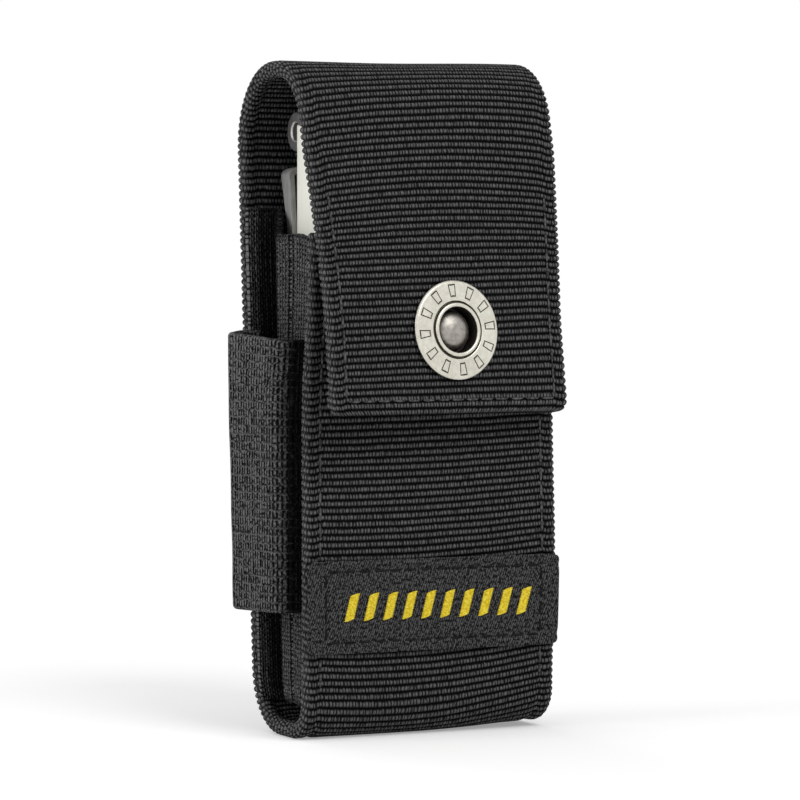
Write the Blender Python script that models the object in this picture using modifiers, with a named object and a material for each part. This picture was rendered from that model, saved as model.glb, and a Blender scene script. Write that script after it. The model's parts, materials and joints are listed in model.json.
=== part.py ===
"""A belt sheath of ribbed black webbing with a snapped flap, holding a folded multi tool.

Sizes are in millimetres, and the helpers turn them into Blender's metres.
X runs across the sheath, -Y is its front and +Z is up.
The origin is on the base, under the middle of the webbing.
"""

import math

import bmesh
import bpy
from mathutils import Matrix, Vector

MM = 0.001
GAP = 0.3
ARC_STEP = math.radians(18)
ROUND_STEPS = 24
HOLE_STEPS = 20

# Webbing: one strip makes the front, the base, the back and the flap
WEB_WIDTH = 50.8
WEB_THICK = 2.2
WEB_COLUMNS = 8
HALF_WIDTH = WEB_WIDTH / 2

# Side profile, as the webbing's centre line
FRONT_Y = -10.3
FRONT_TOP_Y = -9.3
FRONT_LEAN_Z = 75.0
MOUTH_Z = 91.0
BASE_RADIUS = 7.3
BASE_BACK_CORNER_Y = 10.9
BACK_TOP_Y = 17.6
BACK_TOP_Z = 104.0
ARCH_TOP_Z = 121.3
ARCH_BACK_CORNER_Y = 18.7
ARCH_BACK_RADIUS = 14.4
ARCH_FRONT_CORNER_Y = -7.0
ARCH_FRONT_RADIUS = 12.4
FLAP_BEND_Y = -10.9
FLAP_BEND_Z = 105.5
FLAP_END_Z = 58.5
FLAP_REACH = 6.9
FLAP_TWIST = 7.7
FLAP_ROWS = 12

# Hinge lines lie just outside the webbing's outer face
HINGE_OUT = WEB_THICK / 2 + GAP

# Snap fastener, measured along its own axis from the flap's centre line
SNAP_X = 1.1
SNAP_Z = 73.5
CAP_RADIUS = 9.0
CUP_RADIUS = 4.5
CUP_HOLE = 3.9
DOME_RADIUS = 2.8
SOCKET_RADIUS = 6.4
SOCKET_HOLE = 3.8
SOCKET_FOOT = -4.3
STUD_RADIUS = 2.2
STUD_FLANGE = 5.0
PANEL_FACE = -5.4
SETTLE_X = 12.0
SETTLE_Z = 13.0

# Side gussets and the elastic side loop
GUSSET_THICK = 1.2
GUSSET_LOW_Z = 6.0
GUSSET_WALL_X = 21.2
GUSSET_FLANGE_X = 25.0
GUSSET_BULGE = 0.9
GUSSET_ROWS = 10
ELASTIC_THICK = 1.5
ELASTIC_LOW_Z = 22.9
ELASTIC_HIGH_Z = 73.1
ELASTIC_REACH_X = 32.4
ELASTIC_TAB_X = 23.2

# Label and belt loop
LABEL_LOW_Z = 15.7
LABEL_HIGH_Z = 32.4
LABEL_THICK = 0.6
LOOP_WIDTH = 38.0
LOOP_THICK = 1.6
LOOP_LOW_Z = 22.0
LOOP_HIGH_Z = 88.0
LOOP_TAB = 8.0
LOOP_RAMP = 5.0
LOOP_STAND_OFF = 6.3

# Folded tool
TOOL_HALF = 18.0
TOOL_FRONT = -6.4
TOOL_BACK = 8.8
TOOL_LOW = 6.0
TOOL_HIGH = 112.0
STEEL = 1.2
BEND_RADIUS = 2.2
HANDLE_GAP = 0.5
TURN_X = 9.2
TURN_Z = 102.0
BLADE_TURN_X = 9.0
BLADE_TURN_Z = 13.0
PIN_RADIUS = 2.35
PIN_HOLE = 2.6
PIN_HEAD = 4.2
PIN_HEAD_HIGH = 0.45
JAW_Z = 86.0
JAW_HUB = 7.5
JAW_PIN = 3.0
JAW_HOLE = 3.2
JAW_FRONT = -4.6
JAW_BACK = 7.0
LAYER_FRONT = -5.0
LAYER_PITCH = 3.1
LAYER_THICK = 2.5
SPRING_WIDTH = 10.4
CLIP_THICK = 1.0
CLIP_X = (-17.6, -12.2)
CLIP_SCREW_X = -14.9
CLIP_SCREW_Z = (27.5, 33.0)
SCREW_RADIUS = 1.1
SCREW_HOLE = 1.35
SCREW_HEAD = 1.9
SCREW_HEAD_HIGH = 0.6

NYLON = ("black_nylon", (0.022, 0.022, 0.024), 0.75, 0.0)
ELASTIC = ("black_elastic", (0.030, 0.030, 0.033), 0.85, 0.0)
LABEL = ("label_satin", (0.035, 0.035, 0.040), 0.55, 0.0)
NICKEL = ("satin_nickel", (0.62, 0.60, 0.54), 0.32, 1.0)
BRIGHT = ("bright_steel", (0.72, 0.72, 0.70), 0.22, 1.0)
TOOL_STEEL = ("tool_steel", (0.52, 0.52, 0.51), 0.38, 1.0)
SPRING_STEEL = ("spring_steel", (0.36, 0.36, 0.36), 0.42, 1.0)


# Scene


def clear_scene():
    for old in list(bpy.data.objects):
        bpy.data.objects.remove(old)


def new_collection(name):
    made = bpy.data.collections.new(name)
    bpy.context.scene.collection.children.link(made)
    return made


def finish(obj, name, look):
    """Names the object and gives it its material and smooth round faces."""
    obj.name = name
    label, colour, rough, metal = look
    material = bpy.data.materials.get(label) or bpy.data.materials.new(label)
    material.use_nodes = True
    shader = material.node_tree.nodes["Principled BSDF"]
    shader.inputs["Base Color"].default_value = (*colour, 1.0)
    shader.inputs["Roughness"].default_value = rough
    shader.inputs["Metallic"].default_value = metal
    obj.data.materials.append(material)
    obj.data.shade_smooth()
    obj.data.set_sharp_from_angle(angle=math.radians(35))
    return obj


def link(mesh):
    obj = bpy.data.objects.new(mesh.name, mesh)
    PARTS.objects.link(obj)
    return obj


def as_cutter(obj):
    """Moves an object to the cutters, where it shows as wire and makes no part."""
    PARTS.objects.unlink(obj)
    CUTTERS.objects.link(obj)
    obj.hide_render = True
    obj.display_type = "WIRE"
    return obj


def boolean(obj, other, operation="DIFFERENCE"):
    modifier = obj.modifiers.new(other.name, "BOOLEAN")
    modifier.operation = operation
    modifier.object = as_cutter(other)
    return obj


# Outlines and paths


def arc(before, corner, after, radius):
    """Points of the arc that rounds one corner of a path."""
    came, leaves = corner - before, after - corner
    came.normalize()
    leaves.normalize()
    turn = came.angle_signed(leaves)
    if radius == 0 or abs(turn) < 1e-4:
        return [corner]
    start = corner - came * radius * math.tan(abs(turn) / 2)
    side = Vector((came.y, -came.x)) * (1 if turn > 0 else -1)
    centre = start + side * radius
    count = max(2, math.ceil(abs(turn) / ARC_STEP))
    spoke = start - centre
    return [centre + Matrix.Rotation(-turn * i / count, 2) @ spoke for i in range(count + 1)]


def rounded_path(corners):
    """An open path through (a, b, radius) corners, with arcs in place of the corners."""
    spots = [Vector(c[:2]) for c in corners]
    points = [spots[0]]
    for i in range(1, len(spots) - 1):
        points += arc(spots[i - 1], spots[i], spots[i + 1], corners[i][2])
    return points + [spots[-1]]


def rounded_outline(corners):
    """A closed outline through (a, b, radius) corners."""
    spots = [Vector(c[:2]) for c in corners]
    points = []
    for i, corner in enumerate(corners):
        points += arc(spots[i - 1], spots[i], spots[(i + 1) % len(spots)], corner[2])
    return points


def along(points, value, key, result):
    """Reads one coordinate of a path where its other coordinate has the given value."""
    for low, high in zip(points, points[1:]):
        if min(low[key], high[key]) <= value <= max(low[key], high[key]):
            share = (value - low[key]) / ((high[key] - low[key]) or 1.0)
            return low[result] + share * (high[result] - low[result])
    end = min((points[0], points[-1]), key=lambda p: abs(p[key] - value))
    return end[result]


# Solids


def sheet(columns, rows, place, thick):
    """A sheet of even thickness: a grid whose points are placed by a function, then thickened."""
    mesh = bpy.data.meshes.new("sheet")
    bm = bmesh.new()
    bmesh.ops.create_grid(bm, x_segments=columns, y_segments=rows, size=0.5)
    for v in bm.verts:
        v.co = place(round((v.co.x + 0.5) * columns), round((v.co.y + 0.5) * rows)) * MM
    bm.to_mesh(mesh)
    bm.free()
    obj = link(mesh)
    modifier = obj.modifiers.new("Thickness", "SOLIDIFY")
    modifier.thickness = thick * MM
    modifier.offset = 0.0
    modifier.use_even_offset = True
    return obj


def strap(path, low_x, high_x, columns, thick, shift=None):
    """A strip of webbing: a side path of (y, z) points drawn out along X. shift moves its points along Y."""
    step = (high_x - low_x) / columns

    def place(i, j):
        x, (y, z) = low_x + step * i, path[j]
        return Vector((x, y + (shift(x, y, z) if shift else 0.0), z))

    return sheet(columns, len(path) - 1, place, thick)


def plate(outline, low_y, high_y):
    """A flat plate: a closed (x, z) outline between two depths."""
    curve = bpy.data.curves.new("plate", "CURVE")
    curve.dimensions = "2D"
    curve.fill_mode = "BOTH"
    curve.extrude = (high_y - low_y) / 2 * MM
    spline = curve.splines.new("POLY")
    spline.points.add(len(outline) - 1)
    for point, (x, z) in zip(spline.points, outline):
        point.co = (x * MM, z * MM, 0.0, 1.0)
    spline.use_cyclic_u = True
    drawn = bpy.data.objects.new("plate", curve)
    PARTS.objects.link(drawn)
    mesh = bpy.data.meshes.new_from_object(drawn.evaluated_get(bpy.context.evaluated_depsgraph_get()))
    bpy.data.objects.remove(drawn)
    bm = bmesh.new()
    bm.from_mesh(mesh)
    bmesh.ops.remove_doubles(bm, verts=bm.verts, dist=0.001 * MM)
    bmesh.ops.rotate(bm, verts=bm.verts, matrix=Matrix.Rotation(math.pi / 2, 3, "X"))
    bmesh.ops.translate(bm, verts=bm.verts, vec=(0.0, (low_y + high_y) / 2 * MM, 0.0))
    bmesh.ops.recalc_face_normals(bm, faces=bm.faces)
    bm.to_mesh(mesh)
    bm.free()
    return link(mesh)


def turned(profile, frame, steps=ROUND_STEPS):
    """A turned piece: a closed (radius, height) profile spun about the frame's Z axis."""
    mesh = bpy.data.meshes.new("turned")
    bm = bmesh.new()
    verts = [bm.verts.new((r * MM, 0.0, w * MM)) for r, w in profile]
    ring = profile[0][0] > 0 and profile[-1][0] > 0
    for i in range(len(verts) - (0 if ring else 1)):
        bm.edges.new((verts[i], verts[(i + 1) % len(verts)]))
    bm.to_mesh(mesh)
    bm.free()
    obj = link(mesh)
    obj.matrix_world = frame
    modifier = obj.modifiers.new("Turn", "SCREW")
    modifier.steps = steps
    modifier.render_steps = steps
    modifier.use_merge_vertices = True
    modifier.merge_threshold = 0.001 * MM
    return obj


def rod(radius, low, high, frame, steps=HOLE_STEPS):
    return turned([(0, high), (radius, high), (radius, low), (0, low)], frame, steps)


def depth_axis(x, z):
    """A frame at (x, z) whose Z axis points to the back, along +Y."""
    return Matrix.Translation((x * MM, 0.0, z * MM)) @ Matrix.Rotation(-math.pi / 2, 4, "X")


def drill(obj, radius, x, z, low_y, high_y):
    return boolean(obj, rod(radius, low_y, high_y, depth_axis(x, z)))


# The webbing's side profile

STRAP_PATH = rounded_path(
    [
        (FRONT_TOP_Y, MOUTH_Z, 0),
        (FRONT_Y, FRONT_LEAN_Z, 60),
        (FRONT_Y, WEB_THICK / 2, BASE_RADIUS),
        (BASE_BACK_CORNER_Y, WEB_THICK / 2, BASE_RADIUS),
        (BACK_TOP_Y, BACK_TOP_Z, 0),
    ]
)
FRONT_PATH = [p for p in STRAP_PATH if p.x < 0]
BACK_PATH = [p for p in STRAP_PATH if p.x > 0]
BACK_LEAN = (BACK_TOP_Y - BACK_PATH[-2].x) / (BACK_TOP_Z - BACK_PATH[-2].y)


def front_y(z):
    return along(FRONT_PATH, z, 1, 0)


def back_y(z):
    return along(BACK_PATH, z, 1, 0)


def flap_bow(z):
    """How far the flap has swung out of its first line at a height, from 0 at its bend to 1 at its end."""
    share = (FLAP_BEND_Z - z) / (FLAP_BEND_Z - FLAP_END_Z)
    return math.sin(min(1.0, max(0.0, share)) * math.pi / 2)


def flap_y(x, z):
    """The flap's centre surface: it leans out towards its end, more on the left than on the right."""
    return FLAP_BEND_Y - (FLAP_REACH - FLAP_TWIST * x / WEB_WIDTH) * flap_bow(z)


def snap_frame():
    """A frame on the flap's centre surface whose Z axis points out of the flap."""
    step = 0.5
    across = (flap_y(SNAP_X + step, SNAP_Z) - flap_y(SNAP_X - step, SNAP_Z)) / (2 * step)
    up = (flap_y(SNAP_X, SNAP_Z + step) - flap_y(SNAP_X, SNAP_Z - step)) / (2 * step)
    out = Vector((across, -1.0, up)).normalized()
    spot = Vector((SNAP_X, flap_y(SNAP_X, SNAP_Z), SNAP_Z)) * MM
    return Matrix.Translation(spot) @ out.to_track_quat("Z", "Y").to_matrix().to_4x4()


SNAP = snap_frame()


def settle(x, y, z):
    """Turns the front panel parallel to the snap around its stud."""
    if y > 0:
        return 0.0
    across, up = (x - SNAP_X) / SETTLE_X, (z - SNAP_Z) / SETTLE_Z
    near = math.exp(-across * across - up * up)
    out = SNAP.to_3x3() @ Vector((0, 0, 1))
    stud = SNAP @ Vector((0, 0, (PANEL_FACE - WEB_THICK / 2) * MM)) / MM
    plane = stud.y - (out.x * (x - stud.x) + out.z * (z - stud.z)) / out.y
    return (plane - y) * near


# Sheath


def make_main_strap():
    path = []
    for low, high in zip(STRAP_PATH, STRAP_PATH[1:]):
        count = max(1, round((high - low).length / 7.0))
        path += [low.lerp(high, i / count) for i in range(count)]
    obj = strap(path + [STRAP_PATH[-1]], -HALF_WIDTH, HALF_WIDTH, 2 * WEB_COLUMNS, WEB_THICK, settle)
    boolean(obj, rod(PIN_HOLE, PANEL_FACE - 6, PANEL_FACE + 4, SNAP))
    return finish(obj, "main_strap", NYLON)


def make_gusset(name, side):
    """A side wall with two flanges, sewn inside the edges of the front and the back."""
    inset = WEB_THICK / 2 + GAP + GUSSET_THICK / 2
    section = rounded_path(
        [
            (GUSSET_FLANGE_X, 0.0, 0),
            (GUSSET_WALL_X, 0.0, 1.4),
            (GUSSET_WALL_X + GUSSET_BULGE, 8.0, 12),
            (GUSSET_WALL_X, 16.0, 1.4),
            (GUSSET_FLANGE_X, 16.0, 0),
        ]
    )

    def place(i, j):
        z = GUSSET_LOW_Z + (MOUTH_Z - GUSSET_LOW_Z) * j / GUSSET_ROWS
        low, high = front_y(z) + inset, back_y(z) - inset
        x, depth = section[i]
        return Vector((side * x, low + (high - low) * depth / 16.0, z))

    return finish(sheet(len(section) - 1, GUSSET_ROWS, place, GUSSET_THICK), name, NYLON)


def make_elastic_loop():
    """A band of elastic, sewn at both edges of the left gusset and standing off it."""
    inset = WEB_THICK / 2 + GUSSET_THICK + ELASTIC_THICK / 2 + 2 * GAP
    section = rounded_path(
        [
            (ELASTIC_TAB_X, 0.0, 0),
            (HALF_WIDTH + 1.5, 0.0, 3),
            (ELASTIC_REACH_X - 1.5, -1.2, 3),
            (ELASTIC_REACH_X, 9.0, 14),
            (ELASTIC_REACH_X - 3.0, 17.0, 1.9),
            (HALF_WIDTH + 1.5, 16.0, 3),
            (ELASTIC_TAB_X, 16.0, 0),
        ]
    )
    rows = 4

    def place(i, j):
        z = ELASTIC_LOW_Z + (ELASTIC_HIGH_Z - ELASTIC_LOW_Z) * j / rows
        low, high = front_y(z) + inset, back_y(z) - inset
        x, depth = section[i]
        return Vector((-x, low + (high - low) * depth / 16.0, z))

    return finish(sheet(len(section) - 1, rows, place, ELASTIC_THICK), "elastic_loop", ELASTIC)


def make_front_label():
    out = WEB_THICK / 2 + GAP + LABEL_THICK / 2
    path = [Vector((FRONT_Y - out, z)) for z in (LABEL_LOW_Z, LABEL_HIGH_Z)]
    obj = strap(path, -HALF_WIDTH, HALF_WIDTH, 1, LABEL_THICK)
    return finish(obj, "front_label", LABEL)


def make_belt_loop():
    """A strap sewn to the back by its two ends, standing off so that a belt passes behind it."""
    near = WEB_THICK / 2 + GAP + LOOP_THICK / 2
    far = near + LOOP_STAND_OFF
    offsets = rounded_path(
        [
            (near, LOOP_LOW_Z, 0),
            (near, LOOP_LOW_Z + LOOP_TAB, 4),
            (far, LOOP_LOW_Z + LOOP_TAB + LOOP_RAMP, 4),
            (far, LOOP_HIGH_Z - LOOP_TAB - LOOP_RAMP, 4),
            (near, LOOP_HIGH_Z - LOOP_TAB, 4),
            (near, LOOP_HIGH_Z, 0),
        ]
    )
    path = [Vector((back_y(z) + off, z)) for off, z in offsets]
    obj = strap(path, -LOOP_WIDTH / 2, LOOP_WIDTH / 2, 1, LOOP_THICK)
    return finish(obj, "belt_loop", NYLON)


def make_flap_top():
    """The arch of webbing over the tool, from the back to the flap's bend."""
    path = rounded_path(
        [
            (BACK_TOP_Y + GAP * BACK_LEAN, BACK_TOP_Z + GAP, 0),
            (ARCH_BACK_CORNER_Y, ARCH_TOP_Z, ARCH_BACK_RADIUS),
            (ARCH_FRONT_CORNER_Y, ARCH_TOP_Z, ARCH_FRONT_RADIUS),
            (FLAP_BEND_Y, FLAP_BEND_Z, 0),
        ]
    )
    obj = strap(path, -HALF_WIDTH, HALF_WIDTH, WEB_COLUMNS, WEB_THICK)
    return finish(obj, "flap_top_strap", NYLON)


def make_flap_front():
    """The part of the flap that hangs over the front, ending in a hem."""
    top = FLAP_BEND_Z - GAP
    heights = [top + (FLAP_END_Z - top) * j / FLAP_ROWS for j in range(FLAP_ROWS + 1)]
    path = [Vector((0.0, z)) for z in heights]
    obj = strap(path, -HALF_WIDTH, HALF_WIDTH, WEB_COLUMNS, WEB_THICK, lambda x, y, z: flap_y(x, z))
    boolean(obj, rod(CUP_RADIUS + GAP, -3, 3, SNAP, ROUND_STEPS))
    return finish(obj, "flap_front_strap", NYLON)


# Snap fastener, as (radius, height) profiles along its axis


def make_snap_cap():
    face = WEB_THICK / 2 + GAP
    profile = [
        (CUP_HOLE, 2.0),
        (CUP_HOLE + 0.35, 2.45),
        (CUP_RADIUS + 0.4, 2.5),
        (CUP_RADIUS + 0.7, 2.2),
        (CAP_RADIUS - 0.8, 2.05),
        (CAP_RADIUS - 0.15, 1.8),
        (CAP_RADIUS, face),
        (CUP_RADIUS, face),
        (CUP_RADIUS, -1.1),
        (2.1, -1.1),
        (2.1, -0.6),
        (CUP_HOLE, -0.6),
    ]
    return finish(turned(profile, SNAP), "snap_cap", NICKEL)


def make_snap_rivet():
    """The domed rivet in the cup, which clamps the cap and the socket to the webbing."""
    dome = [(DOME_RADIUS * math.sin(a), -0.3 + 1.5 * math.cos(a)) for a in (0.0, 0.4, 0.8, 1.2, math.pi / 2)]
    tail = [(1.8, -0.3), (1.8, -2.3), (2.6, -2.3), (2.6, -2.7), (0, -2.7)]
    return finish(turned(dome + tail, SNAP), "snap_rivet", NICKEL)


def make_snap_socket():
    profile = [
        (2.1, -1.4),
        (SOCKET_RADIUS, -1.4),
        (SOCKET_RADIUS, -2.0),
        (SOCKET_RADIUS - 1.0, -2.4),
        (SOCKET_RADIUS - 1.0, SOCKET_FOOT + 0.4),
        (SOCKET_RADIUS - 1.4, SOCKET_FOOT),
        (SOCKET_HOLE + 0.3, SOCKET_FOOT),
        (SOCKET_HOLE, SOCKET_FOOT + 0.3),
        (SOCKET_HOLE, -2.0),
        (2.1, -2.0),
    ]
    return finish(turned(profile, SNAP), "snap_socket", NICKEL)


def make_snap_spring():
    """The wire ring inside the socket that grips the stud."""
    wire, middle = 0.28, SOCKET_HOLE - 0.35
    turns = [i * math.tau / 6 for i in range(6)]
    profile = [(middle - wire * math.cos(a), -3.4 + wire * math.sin(a)) for a in turns]
    return finish(turned(profile, SNAP), "snap_spring", SPRING_STEEL)


def make_snap_stud():
    foot = PANEL_FACE + GAP
    profile = [
        (0, -3.1),
        (1.2, -3.15),
        (STUD_RADIUS, -3.5),
        (STUD_RADIUS, -3.9),
        (STUD_RADIUS - 0.1, foot + 0.5),
        (STUD_FLANGE - 0.3, foot + 0.5),
        (STUD_FLANGE, foot + 0.3),
        (STUD_FLANGE, foot),
        (1.7, foot),
        (1.7, -3.7),
        (0, -3.7),
    ]
    return finish(turned(profile, SNAP), "snap_stud", NICKEL)


def make_snap_post():
    inner = PANEL_FACE - WEB_THICK - GAP
    profile = [(0, -4.0), (1.4, -4.0), (1.4, inner), (4.0, inner), (4.0, inner - 0.4), (0, inner - 0.5)]
    return finish(turned(profile, SNAP), "snap_post", NICKEL)


# Folded tool


def make_handle(name, side):
    """A handle bent from sheet steel: a web on the outside and two side plates."""
    half = STEEL / 2
    section = rounded_path(
        [
            (HANDLE_GAP, TOOL_FRONT + half, 0),
            (TOOL_HALF - half, TOOL_FRONT + half, BEND_RADIUS),
            (TOOL_HALF - half, TOOL_BACK - half, BEND_RADIUS),
            (HANDLE_GAP, TOOL_BACK - half, 0),
        ]
    )
    ends = (TOOL_LOW - 2, TOOL_HIGH + 2)

    def place(i, j):
        return Vector((side * section[i].x, section[i].y, ends[j]))

    obj = sheet(len(section) - 1, 1, place, STEEL)
    outside = TOOL_HALF + 0.5
    outline = rounded_outline(
        [
            (side * outside, TOOL_LOW, 3.5),
            (side * outside, TOOL_HIGH, 3.5),
            (side * 0.2, TOOL_HIGH, 8.0),
            (side * 0.2, TOOL_LOW, 3.0),
        ]
    )
    boolean(obj, plate(outline, TOOL_FRONT - 2, TOOL_BACK + 2), "INTERSECT")
    drill(obj, PIN_HOLE, side * TURN_X, TURN_Z, TOOL_FRONT - 2, TOOL_BACK + 2)
    drill(obj, PIN_HOLE, side * BLADE_TURN_X, BLADE_TURN_Z, TOOL_FRONT - 2, TOOL_BACK + 2)
    if side < 0:
        for z in CLIP_SCREW_Z:
            drill(obj, SCREW_HOLE, CLIP_SCREW_X, z, TOOL_BACK - 3, TOOL_BACK + 2)
    return finish(obj, name, BRIGHT)


def make_pin(name, x, z):
    """A rivet through both side plates of a handle, with a low domed head at each end."""
    front, back = TOOL_FRONT - GAP / 2, TOOL_BACK + GAP / 2
    profile = [
        (0, back + PIN_HEAD_HIGH),
        (PIN_HEAD * 0.7, back + PIN_HEAD_HIGH * 0.8),
        (PIN_HEAD, back),
        (PIN_RADIUS, back),
        (PIN_RADIUS, front),
        (PIN_HEAD, front),
        (PIN_HEAD * 0.7, front - PIN_HEAD_HIGH * 0.8),
        (0, front - PIN_HEAD_HIGH),
    ]
    return finish(turned(profile, depth_axis(x, z)), name, TOOL_STEEL)


def circle(x, z, radius, steps=ROUND_STEPS):
    turns = [i * math.tau / steps for i in range(steps)]
    return [Vector((x + radius * math.cos(a), z + radius * math.sin(a))) for a in turns]


def make_jaw(name, side):
    """One half of the pliers: a tang on its own side, half the hub, and the nose on the other side."""
    middle = (JAW_FRONT + JAW_BACK) / 2
    low, high = (JAW_FRONT, middle - GAP / 2) if side < 0 else (middle + GAP / 2, JAW_BACK)
    lap = rounded_outline(
        [
            (side * (TURN_X + 4.5), TURN_Z + 3.0, 3),
            (side * (TURN_X - 5.0), TURN_Z + 3.0, 3),
            (side * -3.0, JAW_Z + JAW_HUB - 1.0, 4),
            (side * -JAW_HUB, JAW_Z + 2.0, 4),
            (side * -JAW_HUB, JAW_Z - 12.0, 2),
            (side * -0.8, JAW_Z - 12.0, 0),
            (side * -0.8, JAW_Z - 8.0, 0),
            (side * JAW_HUB, JAW_Z - 3.0, 4),
        ]
    )
    obj = plate(lap, low, high)
    boolean(obj, plate(circle(side * TURN_X, TURN_Z, 6.0), JAW_FRONT - 0.2, JAW_BACK + 0.2), "UNION")
    nose = rounded_outline(
        [
            (side * -0.3, JAW_Z - 36.0, 0),
            (side * -0.3, JAW_Z - 8.5, 0),
            (side * -(JAW_HUB - 0.3), JAW_Z - 8.5, 1),
            (side * -(JAW_HUB - 0.5), JAW_Z - 16.0, 8),
            (side * -3.0, JAW_Z - 36.0, 1),
        ]
    )
    boolean(obj, plate(nose, JAW_FRONT + 0.6, JAW_BACK - 0.6), "UNION")
    drill(obj, PIN_HOLE, side * TURN_X, TURN_Z, TOOL_FRONT, TOOL_BACK)
    drill(obj, JAW_HOLE, 0.0, JAW_Z, TOOL_FRONT, TOOL_BACK)
    return finish(obj, name, TOOL_STEEL)


def make_back_spring(name, side):
    """The flat spring along the inside of a handle's web."""
    x = TOOL_HALF - STEEL - 0.9
    low_z, high_z, rows = 14.0, 62.0, 4

    def place(i, j):
        y = LAYER_FRONT + 1.0 + SPRING_WIDTH * i
        bow = 0.25 * math.sin(j / rows * math.pi)
        return Vector((side * (x - bow), y, low_z + (high_z - low_z) * j / rows))

    return finish(sheet(1, rows, place, 1.0), name, SPRING_STEEL)


def make_implement(name, side, layer, corners):
    """A folded blade or driver: a flat outline in its own layer, turning on the handle's pin."""
    low = LAYER_FRONT + LAYER_PITCH * layer
    outline = rounded_outline([(side * x, z, r) for x, z, r in corners])
    obj = plate(outline, low, low + LAYER_THICK)
    drill(obj, PIN_HOLE, side * BLADE_TURN_X, BLADE_TURN_Z, low - 1, low + LAYER_THICK + 1)
    return finish(obj, name, TOOL_STEEL)


# Each implement's outline starts at the foot of its spine: (distance from the middle, height, corner radius)
SPINE_X = 14.8
FOOT = [(SPINE_X, 7.6, 3.0)]
TANG = [(4.6, 19.0, 2.0), (4.6, 7.6, 3.0)]


def saw_edge(low_z, high_z, pitch, tall_x, deep_x):
    """Teeth along an edge, from its top to its foot."""
    count = round((high_z - low_z) / pitch)
    teeth = []
    for i in range(count):
        top = high_z - i * pitch
        teeth += [(deep_x, top, 0), (tall_x, top - pitch * 0.6, 0)]
    return teeth


IMPLEMENTS = {
    "knife_blade": (-1, 0, [(SPINE_X, 66, 30), (13.2, 81, 0.4), (9.0, 68, 14), (9.0, 23, 2)]),
    "saw_blade": (-1, 1, [(SPINE_X, 79, 2), (10.0, 79, 1), *saw_edge(27, 75, 3.0, 9.0, 10.0)]),
    "bottle_opener": (-1, 2, [(SPINE_X, 45, 4), (6.0, 45, 3), (6.0, 39, 1), (9.5, 37, 2), (7.0, 30, 2)]),
    "large_screwdriver": (-1, 3, [(SPINE_X, 40, 6), (12.6, 47, 0.3), (7.0, 47, 0.3), (5.2, 40, 6)]),
    "serrated_blade": (1, 0, [(SPINE_X, 70, 20), (13.4, 80, 0.4), *saw_edge(25, 68, 4.3, 9.0, 9.8)]),
    "wood_file": (1, 1, [(SPINE_X, 80, 1.5), (9.2, 80, 1.5), (9.2, 24, 3)]),
    "phillips_driver": (1, 2, [(11.6, 22, 2), (11.6, 43, 1), (10.0, 47, 0.5), (8.4, 43, 1), (8.4, 22, 2)]),
    "small_screwdriver": (1, 3, [(SPINE_X, 30, 5), (12.4, 45, 0.3), (9.4, 45, 0.3), (7.6, 30, 6)]),
}


def make_pocket_clip():
    """A spring clip on the back of the left handle, with a flared end."""
    face = TOOL_BACK + GAP + CLIP_THICK / 2
    path = rounded_path(
        [
            (face, 24.0, 0),
            (face, 37.5, 6),
            (11.5, 46.0, 10),
            (11.0, 93.0, 12),
            (14.6, 103.0, 0),
        ]
    )
    obj = strap(path, CLIP_X[0], CLIP_X[1], 1, CLIP_THICK)
    for z in CLIP_SCREW_Z:
        drill(obj, SCREW_HOLE, CLIP_SCREW_X, z, TOOL_BACK - 1, TOOL_BACK + 3)
    return finish(obj, "pocket_clip", SPRING_STEEL)


def make_clip_screw(name, z):
    seat = TOOL_BACK + GAP + CLIP_THICK + GAP / 2
    top = seat + SCREW_HEAD_HIGH
    profile = [
        (0, top),
        (SCREW_HEAD * 0.6, top),
        (SCREW_HEAD, seat),
        (SCREW_RADIUS, seat),
        (SCREW_RADIUS, TOOL_BACK - STEEL - 0.3),
        (0, TOOL_BACK - STEEL - 0.3),
    ]
    return finish(turned(profile, depth_axis(CLIP_SCREW_X, z), HOLE_STEPS), name, TOOL_STEEL)


# Assembly


def joint_empty(name, y, z, parent=None):
    """An empty on a joint's axis, which carries the pieces that move with it."""
    empty = bpy.data.objects.new(name, None)
    PARTS.objects.link(empty)
    empty.location = (0.0, y * MM, z * MM)
    bpy.context.view_layer.update()
    if parent:
        carry(parent, [empty])
    return empty


def carry(empty, objects):
    """Parents pieces to an empty and leaves them where they are."""
    bpy.context.view_layer.update()
    for obj in objects:
        obj.parent = empty
        obj.matrix_parent_inverse = empty.matrix_world.inverted()


def make_sheath():
    return [
        make_main_strap(),
        make_gusset("left_gusset", -1),
        make_gusset("right_gusset", 1),
        make_elastic_loop(),
        make_front_label(),
        make_belt_loop(),
        make_snap_stud(),
        make_snap_post(),
    ]


def make_tool():
    made = [make_pocket_clip()]
    for word, z in zip(("lower", "upper"), CLIP_SCREW_Z):
        made.append(make_clip_screw(f"clip_screw_{word}", z))
    for word, side in (("left", -1), ("right", 1)):
        made.append(make_handle(f"handle_{word}", side))
        made.append(make_jaw(f"jaw_{word}", side))
        made.append(make_back_spring(f"back_spring_{word}", side))
        made.append(make_pin(f"handle_pivot_{word}", side * TURN_X, TURN_Z))
        made.append(make_pin(f"blade_pivot_{word}", side * BLADE_TURN_X, BLADE_TURN_Z))
    for name, (side, layer, corners) in IMPLEMENTS.items():
        made.append(make_implement(name, side, layer, FOOT + corners + TANG))
    jaw_pin = rod(JAW_PIN, JAW_FRONT + 0.2, JAW_BACK - 0.2, depth_axis(0.0, JAW_Z), ROUND_STEPS)
    made.append(finish(jaw_pin, "jaw_pivot", TOOL_STEEL))
    return made


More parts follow.
